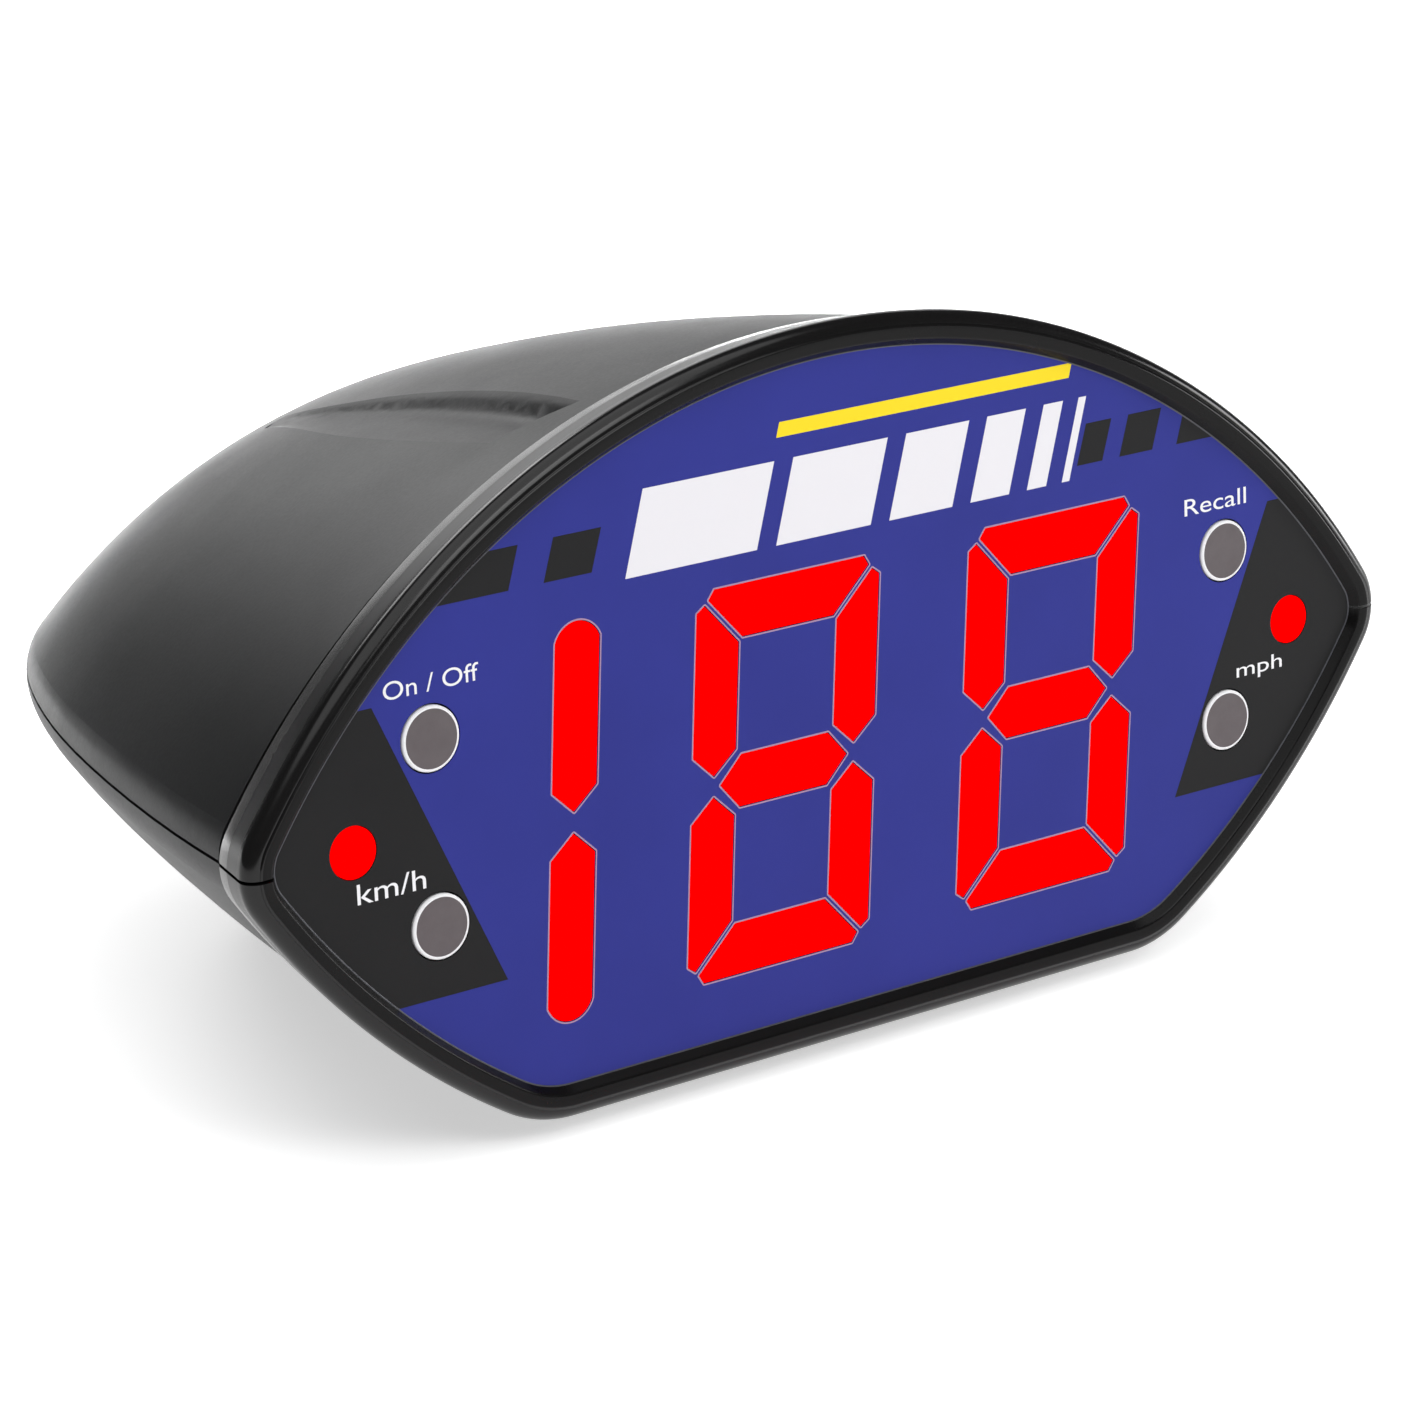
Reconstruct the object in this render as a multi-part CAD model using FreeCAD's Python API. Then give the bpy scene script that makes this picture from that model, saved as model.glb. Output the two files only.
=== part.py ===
import FreeCAD, Part
import math
import os

# Table-top speed radar with a three-digit display.
# Object frame: X to the viewer's right, Y from the display towards the back, Z up, feet on z = 0.
# The display and everything behind it is modelled in a face frame (x right, y up the face, z out of the
# face) and leaned back with place_on_face. Body parts are modelled with y as the depth behind the face
# centre and z as the height over the parting plane, and are put in place with place_in_body.

Vec = FreeCAD.Vector
X_AXIS = Vec(1, 0, 0)
Y_AXIS = Vec(0, 1, 0)
Z_AXIS = Vec(0, 0, 1)

# ---- driving dimensions, millimetres and degrees ----
LEAN = 3.7                 # the face leans back from vertical
PARTING_Z = 49.4           # parting plane of the two housing halves, over the table
FACE_Y = -62.0             # centre of the face, in front of the middle of the object

RIM_HALF = 108.1           # rim, half distance of the side corners; rounding them leaves 105.6
RIM_TOP = 61.7             # rim, top over the parting plane
RIM_BOTTOM = 46.8          # rim, bottom under the parting plane
RIM_CORNER = 59.0          # rim, half distance of the bottom corners
RIM_NOSE_R = 10.8          # rounding of the side noses
RIM_CORNER_R = 21.3        # rounding of the bottom corners
SIDE_R = 133.3             # radius of the outward bulge of the lower sides
RIM_WIDTH = 5.3            # width of the rim seen from the front
RIM_PROUD = 1.3            # the rim stands this far in front of the printed face
RIM_ROUND = 2.0            # rounding of the rim's front edge
RIM_BACK = 8.2             # the rim runs back this far behind the printed face
RIM_TAPER = 2.1            # the rim narrows by this much towards its back, down to the body
GROOVE = 0.8               # groove between the rim and the body, width and depth
LEDGE = 3.5                # width of the ledge that carries the panel, inside the rim
BOARD_INSET = 10.2         # the display board ends this far inside the rim's outline

WALL = 2.6                 # housing wall
BODY_LENGTH = 128.5        # depth at which the body's rounding would close to a point
BODY_END = 127.3           # depth of the flat patch at the back
BODY_TOP = 60.15           # top of the body at the face
TOP_SLOPE = 0.125          # the top falls towards the back: linear part
TOP_CURVE = 0.00109        # and quadratic part, per millimetre
BODY_BOTTOM = 44.6         # underside of the body below the parting plane
WIDTH_POWERS = (1.5, 4.48) # superellipse powers of the plan shape
CORNER_POWER = 1.05        # the bottom corners draw in slightly faster than the sides
TOP_POWER = 19.0           # the top edge rounds over within the last sixth of the length
BOTTOM_POWER = 14.4        # the underside rounds over a little earlier
NOSE_SHARPENING = 0.24     # the side noses get sharper towards the back
SIDE_FLATTENING = 0.6      # the lower sides get flatter towards the back
PARTING_GAP = 0.5          # visible joint line between the halves
LIP_HEIGHT = 1.6           # tongue of the lower half, inside the upper half
SKIN_INSET = 0.6           # bosses end this far inside the housing's outer surface

OVERLAY_T = 0.3            # printed film
PANEL_T = 2.5              # front panel behind the film
GASKET_T = 0.6             # foam tape behind the panel
BOARD_T = 1.6              # circuit boards
DISPLAY_BOARD_W = -14.0    # front face of the display board, behind the printed face

DIGIT_HEIGHT = 57.8
DIGIT_WIDTH = 33.4
DIGIT_MIDDLE = -3.2        # height of the digits' middle on the face
DIGIT_SLANT = 0.081        # sideways lean of the digits, per unit height
SEGMENT_W = 7.6
SEGMENT_GAP = 1.1
TENS_X = -12.9
UNITS_X = 37.8
HUNDREDS_X = -50.7
SEGMENT_CLEARANCE = 0.15   # between a red segment and its window
FRAME_MARGIN = 1.9         # digit frame around its segments

KEY_X = 74.15
KEY_HIGH = 13.9
KEY_LOW = -13.2
KEY_R = 4.75
KEY_HOLE_R = 5.0
KEY_FLANGE_R = 5.7         # flange that keeps a key behind the panel
KEY_STEM_R = 1.6
KEY_PROUD = 0.3            # the caps stand this far in front of the film
PLUNGER_R = 1.7
SWITCH_HALF = 3.0          # half side of a tact switch
SWITCH_TOP_W = -10.6
STEM_END_W = -9.6          # the key stems end here and touch the plungers
LED_X = 87.8
LED_Y = 0.4
LED_R = 3.75
LED_HOLE_R = 3.9
LED_FLANGE_R = 4.6
LED_BACK_W = -8.5          # underside of the lamps' flanges
LED_LEAD_R = 0.35
LED_LEAD_X = 1.27          # half distance of a lamp's two leads
POST_X = 63.0              # posts of the panel that carry the display board
POST_Y = 20.0
POST_R = 2.6
POST_BORE_R = 1.05
BOARD_LOW = -37.0          # display board, lower and upper edge on the face
BOARD_HIGH = 27.2

RADAR_HALF_X = 30.0        # radar board, half width
RADAR_LOW = 28.6           # and its lower and upper edge on the face
RADAR_HIGH = 48.4
RADAR_FRONT_W = -4.8
RADAR_BOARD_T = 1.2
RADAR_POST_X = 25.0
RADAR_POST_Y = 38.5
RADAR_POST_R = 2.2
RADAR_BORE_R = 0.8
PATCH_PITCH_X = 7.5        # antenna patches
PATCH_PITCH_Y = 7.4
PATCH_WIDE = 4.2
PATCH_TALL = 4.6
PATCH_T = 0.12
SHIELD_HALF_X = 19.0       # metal can over the radar circuit
SHIELD_LOW = 30.5
SHIELD_HIGH = 46.5
SHIELD_BACK_W = -11.5
SHIELD_T = 0.4

CELL_R = 13.0              # size C cells
CELL_L = 50.0
CELL_ROW = 13.5            # half distance of the two rows
BAY_DEPTH = 62.0           # middle of the battery bay, behind the face
CELL_Z = -26.0             # cell axes under the parting plane
TRAY_HALF_X = 52.5         # inside of the battery tray
TRAY_HALF_Y = 26.8
TRAY_WALL = 1.8
TRAY_TOP = -10.8
EAR_X = 60.0               # screw ears on both ends of the tray
EAR_STEP = 6.8             # their half distance
EAR_HALF = 4.4
EAR_T = 2.4
TAB_RISE = 4.0             # solder tabs of the end contacts, over the cell axes
DOOR_HALF_X = 51.3
DOOR_HALF_Y = 26.1
DOOR_GAP = 0.3
DOOR_TAB_X = 25.0
KNUCKLE_R = 1.1            # hinge knuckles of the door

MAIN_BOARD_Z = -4.0        # underside of the main board
MAIN_BOARD_HALF_X = 50.0
MAIN_BOARD_FRONT = 38.0
MAIN_BOARD_BACK = 88.0
MAIN_POST_X = 45.5         # screws of the main board, on posts of the tray
MAIN_POST_DEPTHS = (42.5, 83.5)
INSERT_DEPTH = 23.5        # tripod insert, behind the face
INSERT_R = 6.0
INSERT_L = 12.0
INSERT_BOSS_R = 8.5
TRIPOD_THREAD_R = 3.175    # 1/4 inch thread
FOOT_R = 6.0
FOOT_PLACES = {"front_left": (-40, 13), "front_right": (40, 13),
               "rear_left": (-26, 99), "rear_right": (26, 99)}
SCREW_R = 1.6              # long screws that hold the two halves together
SCREW_PLACES = [(-40, 27), (40, 27), (-11, 102), (11, 102)]
JACK_Z = -8.5              # centre of the power jack, on the flat patch at the back
JACK_R = 4.0
JACK_FLANGE_R = 5.6
JACK_NUT_R = 6.2
JACK_BORE_R = 2.85
JACK_PIN_R = 1.0
JACK_LENGTH = 12.0

PANEL_BACK_W = -OVERLAY_T - PANEL_T
LEDGE_W = PANEL_BACK_W - GASKET_T
CELL_BOTTOM = CELL_Z - CELL_R
BAY_FRONT = BAY_DEPTH - TRAY_HALF_Y
BAY_BACK = BAY_DEPTH + TRAY_HALF_Y

parts = {}


# ---- frames and small shapes ----
def place_on_face(shape):
    """Face frame to object frame."""
    placed = shape.copy()
    placed.rotate(Vec(0, 0, 0), X_AXIS, 90 - LEAN)
    placed.translate(Vec(0, FACE_Y, PARTING_Z))
    return placed


def place_in_body(shape):
    """Body frame (depth, height over the parting plane) to object frame."""
    placed = shape.copy()
    placed.translate(Vec(0, FACE_Y, PARTING_Z))
    return placed


def block(x0, x1, y0, y1, z0, z1):
    return Part.makeBox(x1 - x0, y1 - y0, z1 - z0, Vec(x0, y0, z0))


def rod(radius, x, y, z0, z1):
    return Part.makeCylinder(radius, z1 - z0, Vec(x, y, z0), Z_AXIS)


def rod_along(radius, start, axis, length):
    return Part.makeCylinder(radius, length, start, axis)


def fuse(shapes):
    whole = shapes[0].fuse(shapes[1:]) if len(shapes) > 1 else shapes[0]
    return whole.removeSplitter()


def group(shapes):
    return Part.makeCompound(shapes)


def softened(shape, radius, chosen):
    """Fillet the edges for which chosen(edge) is true."""
    edges = [edge for edge in shape.Edges if chosen(edge)]
    return shape.makeFillet(radius, edges)


def upright(edge):
    box = edge.BoundBox
    return box.ZLength > 0.9 * edge.Length


def rounded_block(x0, x1, y0, y1, z0, z1, radius):
    return softened(block(x0, x1, y0, y1, z0, z1), radius, upright)


# ---- the outline shared by the face, the rim and the body ----
def circle_meeting(c1, r1, c2, r2):
    """Right-hand meeting point of two circles whose centres lie in the plane."""
    gap = c2 - c1
    dist = gap.Length
    along = (r1 * r1 - r2 * r2 + dist * dist) / (2 * dist)
    off = math.sqrt(r1 * r1 - along * along)
    unit = gap / dist
    side = Vec(-unit.y, unit.x, 0)
    one = c1 + unit * along + side * off
    two = c1 + unit * along - side * off
    return one if one.x > two.x else two


def beyond(centre, through, radius):
    return centre + (through - centre).normalize() * radius


def outline(half, top, corner, bottom, nose_r, corner_r, bulge_r, inset=0.0):
    """Eye-shaped outline: top arc, two side noses, bulging lower sides and a flat bottom."""
    top_r = (half * half + top * top) / (2 * top)
    top_c = Vec(0, top - top_r, 0)
    side_a = Vec(half, 0, 0)
    side_b = Vec(corner, -bottom, 0)
    chord = side_b - side_a
    middle = (side_a + side_b) * 0.5
    inward = Vec(chord.y, -chord.x, 0).normalize()
    reach = math.sqrt(bulge_r * bulge_r - chord.Length * chord.Length / 4)
    side_c = middle + inward * reach
    nose_c = circle_meeting(top_c, top_r - nose_r, side_c, bulge_r - nose_r)
    rise = -bottom + corner_r - side_c.y
    run = math.sqrt((bulge_r - corner_r) ** 2 - rise * rise)
    corner_c = Vec(side_c.x + run, side_c.y + rise, 0)

    apex = Vec(0, top - inset, 0)
    a = beyond(top_c, nose_c, top_r - inset)
    nose_dir = (a - top_c).normalize() + (nose_c - side_c).normalize()
    nose_mid = nose_c + nose_dir.normalize() * (nose_r - inset)
    b = beyond(side_c, nose_c, bulge_r - inset)
    d = beyond(side_c, corner_c, bulge_r - inset)
    side_mid = beyond(side_c, (b + d) * 0.5, bulge_r - inset)
    e = Vec(corner_c.x, -bottom + inset, 0)
    corner_dir = (d - corner_c).normalize() + (e - corner_c).normalize()
    corner_mid = corner_c + corner_dir.normalize() * (corner_r - inset)

    def mirrored(p):
        return Vec(-p.x, p.y, 0)

    edges = [
        Part.Arc(mirrored(a), apex, a).toShape(),
        Part.Arc(a, nose_mid, b).toShape(),
        Part.Arc(b, side_mid, d).toShape(),
        Part.Arc(d, corner_mid, e).toShape(),
        Part.makeLine(e, mirrored(e)),
        Part.Arc(mirrored(e), mirrored(corner_mid), mirrored(d)).toShape(),
        Part.Arc(mirrored(d), mirrored(side_mid), mirrored(b)).toShape(),
        Part.Arc(mirrored(b), mirrored(nose_mid), mirrored(a)).toShape(),
    ]
    return Part.Wire(edges)


def rim_outline(inset):
    return outline(RIM_HALF, RIM_TOP, RIM_CORNER, RIM_BOTTOM, RIM_NOSE_R, RIM_CORNER_R, SIDE_R, inset)


def rim_slab(inset, w0, w1):
    """Solid between two depths on the face, bounded by the rim's outline moved inwards."""
    wire = rim_outline(inset)
    wire.translate(Vec(0, 0, w0))
    return Part.Face(wire).extrude(Vec(0, 0, w1 - w0))


def rim_frustum(inset_low, w_low, inset_high, w_high):
    """Solid that narrows or widens between two outlines at two depths on the face."""
    low = rim_outline(inset_low)
    low.translate(Vec(0, 0, w_low))
    high = rim_outline(inset_high)
    high.translate(Vec(0, 0, w_high))
    return Part.makeLoft([low, high], True, True)


def width_factor(depth):
    along = max(depth, 0.0) / BODY_LENGTH
    return (1 - along ** WIDTH_POWERS[0]) ** (1 / WIDTH_POWERS[1])


def top_height(depth):
    along = max(depth, 0.0) / BODY_LENGTH
    fall = BODY_TOP - TOP_SLOPE * depth - TOP_CURVE * depth * depth
    return fall * math.sqrt(1 - along ** TOP_POWER)


def body_section(depth, inset):
    along = max(depth, 0.0) / BODY_LENGTH
    wide = width_factor(depth)
    bottom = BODY_BOTTOM * math.sqrt(1 - along ** BOTTOM_POWER)
    nose_r = (RIM_NOSE_R - RIM_TAPER) * wide * (1 - NOSE_SHARPENING * along)
    side_r = (SIDE_R - RIM_TAPER) * wide * (1 + SIDE_FLATTENING * min(2 * along, 1.0))
    wire = outline(
        (RIM_HALF - RIM_TAPER) * wide, top_height(depth), (RIM_CORNER - RIM_TAPER) * wide ** CORNER_POWER,
        bottom, nose_r, (RIM_CORNER_R - RIM_TAPER) * wide, side_r)
    wire.rotate(Vec(0, 0, 0), X_AXIS, 90)
    if inset > 0:
        wire = shrunk(wire, inset)
    wire.translate(Vec(0, depth, 0))
    return wire


def shrunk(wire, inset):
    """Section scaled inwards so that it lies one wall thickness inside on every side."""
    box = wire.BoundBox
    scale_x = (box.XLength - 2 * inset) / box.XLength
    scale_z = (box.ZLength - 2 * inset) / box.ZLength
    middle_z = (box.ZMax + box.ZMin) / 2
    matrix = FreeCAD.Matrix()
    matrix.scale(scale_x, 1, scale_z)
    matrix.A34 = middle_z * (1 - scale_z)
    return wire.transformGeometry(matrix)


def body_loft(inset):
    """Closed body of the housing; inset moves its whole surface inwards."""
    depths = [-12, 12, 35, 58, 78, 94, 106, 114, 119.5, 123.5, 126, BODY_END]
    sections = []
    for depth in depths:
        section = body_section(depth, inset)
        if depth > 100:
            section.translate(Vec(0, -inset * (depth - 100) / (BODY_END - 100), 0))
        sections.append(section)
    return Part.makeLoft(sections, True, False)


# ---- housing ----
# stations of the scoop: depth, soft inner edge, crease at its outer side, deepest point
SCOOP_STATIONS = [(8, 37.6, 48.2, 2.4), (24, 35.8, 48.5, 2.3), (40, 34.4, 48.7, 2.1), (56, 33.9, 47.4, 1.7),
                  (70, 33.9, 44.8, 1.2), (84, 33.6, 41.0, 0.65), (100, 32.5, 36.5, 0.05)]
# across the scoop: share of its width, share of its depth below the dome
SCOOP_PROFILE = [(-0.16, -0.20), (0.0, 0.03), (0.09, 0.34), (0.18, 0.84), (0.28, 1.0), (0.60, 0.60),
                 (1.0, 0.0), (1.12, -0.22)]
SCOOP_LEDGE = [(20, 10.1), (60, 27.4)]   # front end of the scoop in plan, parallel to the rim


def dome_height(x, depth):
    """Height of the body's top arc at a distance from the middle."""
    top = top_height(depth)
    half = (RIM_HALF - RIM_TAPER) * width_factor(depth)
    radius = (half * half + top * top) / (2 * top)
    return top - radius + math.sqrt(radius * radius - x * x)


def scoop(side, drop):
    """Tool for the shallow scoop on each side of the top, behind the rim."""
    wires = []
    for depth, inner, outer, sink in SCOOP_STATIONS:
        wide = outer - inner
        floor = []
        for across, share in SCOOP_PROFILE:
            x = inner + across * wide
            below = share * sink if share > 0 else share * 2.0
            floor.append(Vec(side * x, depth, dome_height(x, depth) - below - drop))
        curve = Part.BSplineCurve()
        curve.interpolate(floor)
        roof = top_height(depth) + 15
        first = Vec(floor[0].x, depth, roof)
        last = Vec(floor[-1].x, depth, roof)
        wires.append(Part.Wire([curve.toShape(), Part.makeLine(floor[-1], last), Part.makeLine(last, first),
                                Part.makeLine(first, floor[0])]))
    tool = Part.makeLoft(wires, True, False)
    (x0, y0), (x1, y1) = SCOOP_LEDGE
    corners = [Vec(side * x0, 0, 0), Vec(side * x1, 0, 0), Vec(side * x1, y1, 0), Vec(side * x0, y0, 0)]
    ledge = Part.Face(Part.makePolygon(corners + corners[:1])).extrude(Vec(0, 0, 120))
    return tool.cut(ledge)


def rim_ring():
    """Front ring with a rounded crest, a recess for the panel and a ledge behind it."""
    ring = rim_frustum(RIM_TAPER, -RIM_BACK, 0.0, RIM_PROUD)
    ring = softened(ring, RIM_ROUND, lambda edge: edge.BoundBox.ZMin > RIM_PROUD - 0.01)
    ring = ring.fuse(rim_slab(RIM_TAPER + GROOVE, -RIM_BACK - GROOVE, -RIM_BACK))
    mouth = rim_frustum(RIM_WIDTH, 0.0, RIM_WIDTH - 1.2, RIM_PROUD + 0.2)
    recess = rim_slab(RIM_WIDTH, LEDGE_W, 0.0)
    opening = rim_slab(RIM_WIDTH + LEDGE, -RIM_BACK - GROOVE - 1, LEDGE_W)
    return ring.cut(mouth).cut(recess).cut(opening)


def build_housing():
    far = 300.0
    outer = place_in_body(body_loft(0.0))
    for side in (-1, 1):
        outer = outer.cut(place_in_body(scoop(side, 0.0)))
    inner = place_in_body(body_loft(WALL))
    cavity = inner
    for side in (-1, 1):
        cavity = cavity.cut(place_in_body(scoop(side, WALL)))
    behind_face = place_on_face(block(-far, far, -far, far, -far, -2.0))
    behind_ledge = place_on_face(block(-far, far, -far, far, -far, LEDGE_W - 3.0))
    hollow = cavity.common(behind_ledge)
    throat = place_on_face(rim_slab(RIM_WIDTH + LEDGE, LEDGE_W - 4.0, LEDGE_W))
    recess = place_on_face(rim_slab(RIM_WIDTH, LEDGE_W, 0.0))
    body = outer.common(behind_face).cut(hollow).cut(throat).cut(recess)
    outside = place_on_face(rim_slab(-20, -RIM_BACK - GROOVE, 0.0))
    groove_ring = outside.cut(place_on_face(rim_slab(RIM_TAPER + GROOVE, -RIM_BACK - GROOVE, 0.0)))
    shell = body.cut(groove_ring).fuse(place_on_face(rim_ring()))

    upper_half = block(-far, far, -far, far, PARTING_Z + PARTING_GAP / 2, far)
    lower_half = block(-far, far, -far, far, -far, PARTING_Z - PARTING_GAP / 2)
    seam_zone = block(-far, far, FACE_Y + 14, far, PARTING_Z - PARTING_GAP, PARTING_Z + LIP_HEIGHT)
    groove_zone = block(-far, far, FACE_Y + 13.7, far, PARTING_Z - PARTING_GAP,
                        PARTING_Z + LIP_HEIGHT + 0.2)
    lip_outer = place_in_body(body_loft(WALL * 0.5))
    groove_outer = place_in_body(body_loft(WALL * 0.42))
    lip = lip_outer.cut(inner).common(seam_zone)
    groove = groove_outer.common(groove_zone)

    top = shell.common(upper_half).cut(groove)
    bottom = shell.common(lower_half).fuse(lip)
    skin = place_in_body(body_loft(SKIN_INSET))
    for side in (-1, 1):
        skin = skin.cut(place_in_body(scoop(side, SKIN_INSET)))
    return top, bottom, skin, inner


def screw_bosses(top, bottom, skin):
    """Hollow posts in both halves for the four long housing screws."""
    lower = []
    upper = []
    lower_holes = []
    upper_holes = []
    for x, depth in SCREW_PLACES:
        lower.append(rod(4.8, x, depth, -60, -8.0))
        lower_holes.append(rod(3.6, x, depth, -60, -30))
        lower_holes.append(rod(SCREW_R + 0.2, x, depth, -31, 0))
        upper.append(rod(4.2, x, depth, -7.6, 70))
        upper_holes.append(rod(SCREW_R, x, depth, -8, 12))
    lower = place_in_body(group(lower)).common(skin)
    upper = place_in_body(group(upper)).common(skin)
    bottom = bottom.fuse(lower).cut(place_in_body(group(lower_holes)))
    top = top.fuse(upper).cut(place_in_body(group(upper_holes)))
    return top, bottom


def tray_ear_places():
    return [(side * EAR_X, BAY_DEPTH + step) for side in (-1, 1) for step in (-EAR_STEP, EAR_STEP)]


def door_knuckle(x, half_length, radius):
    """Barrel of the door's hinge, on the line about which the door swings."""
    start = Vec(x - half_length, BAY_DEPTH + DOOR_HALF_Y + DOOR_GAP / 2, -BODY_BOTTOM)
    return rod_along(radius, start, X_AXIS, 2 * half_length)


def finish_bottom(bottom, skin):
    """Battery opening, tripod boss, foot recesses, tray posts and jack hole of the lower half."""
    opening = block(-DOOR_HALF_X - DOOR_GAP, DOOR_HALF_X + DOOR_GAP,
                    BAY_DEPTH - DOOR_HALF_Y - DOOR_GAP, BAY_DEPTH + DOOR_HALF_Y + DOOR_GAP, -60, -30)
    boss = rod(INSERT_BOSS_R, 0, INSERT_DEPTH, -60, -BODY_BOTTOM + INSERT_L + 2)
    posts = [rod(3.4, x, depth, -60, TRAY_TOP - EAR_T) for x, depth in tray_ear_places()]
    post_holes = [rod(1.2, x, depth, TRAY_TOP - 12, TRAY_TOP) for x, depth in tray_ear_places()]
    # the posts stay clear of the tray's walls
    keep_out = block(-TRAY_HALF_X - TRAY_WALL - 0.3, TRAY_HALF_X + TRAY_WALL + 0.3,
                     BAY_FRONT - TRAY_WALL, BAY_BACK + TRAY_WALL, -40, 0)
    posts = group(posts).cut(keep_out)
    bottom = bottom.fuse(place_in_body(group([boss])).common(skin))
    bottom = bottom.fuse(place_in_body(posts).common(skin))
    bottom = bottom.cut(place_in_body(opening))
    knuckle_rooms = [door_knuckle(side * DOOR_TAB_X, 4.9, KNUCKLE_R + 0.35) for side in (-1, 1)]
    bottom = bottom.cut(place_in_body(group(knuckle_rooms)))
    bottom = bottom.cut(place_in_body(group(post_holes)))
    bottom = bottom.cut(place_in_body(rod(INSERT_R, 0, INSERT_DEPTH, -60, -BODY_BOTTOM + INSERT_L)))
    for x, depth in FOOT_PLACES.values():
        bottom = bottom.cut(place_in_body(rod(FOOT_R + 0.2, x, depth, -60, -BODY_BOTTOM + 1.2)))
    jack_hole = rod_along(JACK_R + 0.2, Vec(0, 100, JACK_Z), Y_AXIS, 40)
    return bottom.cut(place_in_body(jack_hole))


top_shell, bottom_shell, outer_skin, inner_skin = build_housing()
top_shell, bottom_shell = screw_bosses(top_shell, bottom_shell, outer_skin)
bottom_shell = finish_bottom(bottom_shell, outer_skin)
parts["top_housing"] = top_shell
parts["bottom_housing"] = bottom_shell


# ---- digits ----
def vertical_segment(side, half_height):
    """Outer upper upright of a digit, before the slant; mirrored for the others."""
    edge = DIGIT_WIDTH / 2
    inner = edge - SEGMENT_W
    gap = SEGMENT_GAP * 0.707
    cut = 1.3
    top = half_height - gap
    points = [(inner, top - SEGMENT_W), (edge - cut, top - cut), (edge, top - cut - 0.9),
              (edge, SEGMENT_GAP * 1.5 + 3.3), (edge - SEGMENT_W / 2, SEGMENT_GAP * 1.5),
              (inner, SEGMENT_GAP * 1.5 + 3.3)]
    return [(side * x, y) for x, y in points]


def bar_segment(half_height):
    """Top bar of a digit, before the slant."""
    edge = DIGIT_WIDTH / 2
    gap = SEGMENT_GAP * 0.707
    cut = 1.3
    outer = edge - gap
    right = [(outer - cut - 0.9, half_height), (outer - cut, half_height - cut),
             (outer - SEGMENT_W, half_height - SEGMENT_W)]
    return [(-x, y) for x, y in reversed(right)] + right


def middle_segment():
    reach = DIGIT_WIDTH / 2 - SEGMENT_W / 2 - SEGMENT_GAP * 1.2
    half = SEGMENT_W / 2
    return [(-reach, 0), (-reach + 3.6, half), (reach - 3.6, half),
            (reach, 0), (reach - 3.6, -half), (-reach + 3.6, -half)]


def digit_segments():
    half = DIGIT_HEIGHT / 2
    upper = [vertical_segment(-1, half), vertical_segment(1, half), bar_segment(half)]
    lower = [[(x, -y) for x, y in points] for points in upper]
    return upper + lower + [middle_segment()]


def slanted(points, centre_x):
    return [Vec(centre_x + x + y * DIGIT_SLANT, DIGIT_MIDDLE + y, 0) for x, y in points]


def polygon_face(points):
    return Part.Face(Part.makePolygon(points + points[:1]))


def hundreds_segments():
    """The two strokes of the leading 1, round outside and pointed at the middle."""
    half = SEGMENT_W / 2
    tip = SEGMENT_GAP * 1.5
    faces = []
    for way in (1, -1):
        shoulder = DIGIT_HEIGHT / 2 - 2.6
        base = [(-half, way * shoulder), (-half, way * (tip + 3.3)), (0, way * tip),
                (half, way * (tip + 3.3)), (half, way * shoulder)]
        crown = [(0, way * DIGIT_HEIGHT / 2)]
        points = slanted(base, HUNDREDS_X)
        top_point = slanted(crown, HUNDREDS_X)[0]
        sides = [Part.makeLine(points[i], points[i + 1]) for i in range(4)]
        sides.append(Part.Arc(points[4], top_point, points[0]).toShape())
        faces.append(Part.Face(Part.Wire(sides)))
    return faces


def segment_faces(name):
    if name == "hundreds":
        return hundreds_segments()
    centre_x = TENS_X if name == "tens" else UNITS_X
    return [polygon_face(slanted(points, centre_x)) for points in digit_segments()]


def window_faces(name):
    return [face.makeOffset2D(SEGMENT_CLEARANCE) for face in segment_faces(name)]


def raised(faces, w0, w1):
    solids = []
    for face in faces:
        moved = face.copy()
        moved.translate(Vec(0, 0, w0))
        solids.append(moved.extrude(Vec(0, 0, w1 - w0)))
    return solids


def digit_frame(name):
    """Moulded reflector frame of one digit, with a well for each segment."""
    half_w = SEGMENT_W / 2 if name == "hundreds" else DIGIT_WIDTH / 2
    centre = {"hundreds": HUNDREDS_X, "tens": TENS_X, "units": UNITS_X}[name]
    half_w += FRAME_MARGIN
    half_h = DIGIT_HEIGHT / 2 + FRAME_MARGIN
    corners = [(-half_w, -half_h), (half_w, -half_h), (half_w, half_h), (-half_w, half_h)]
    base = polygon_face(slanted(corners, centre))
    body = raised([base], DISPLAY_BOARD_W, PANEL_BACK_W - 0.1)[0]
    wells = raised(window_faces(name), DISPLAY_BOARD_W + 1.4, 0)
    return body.cut(wells)


DIGIT_NAMES = ["hundreds", "tens", "units"]
for digit_name in DIGIT_NAMES:
    lenses = raised(segment_faces(digit_name), DISPLAY_BOARD_W + 1.6, -0.05)
    parts["digit_frame_" + digit_name] = place_on_face(digit_frame(digit_name))
    parts["digit_segments_" + digit_name] = place_on_face(group(lenses))


# ---- face: film, panel, gasket, keys, indicator lamps ----
KEYS = {"power": (-KEY_X, KEY_HIGH), "recall": (KEY_X, KEY_HIGH),
        "kmh": (-KEY_X, KEY_LOW), "mph": (KEY_X, KEY_LOW)}
LAMPS = {"kmh": (-LED_X, LED_Y), "mph": (LED_X, LED_Y)}


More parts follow.
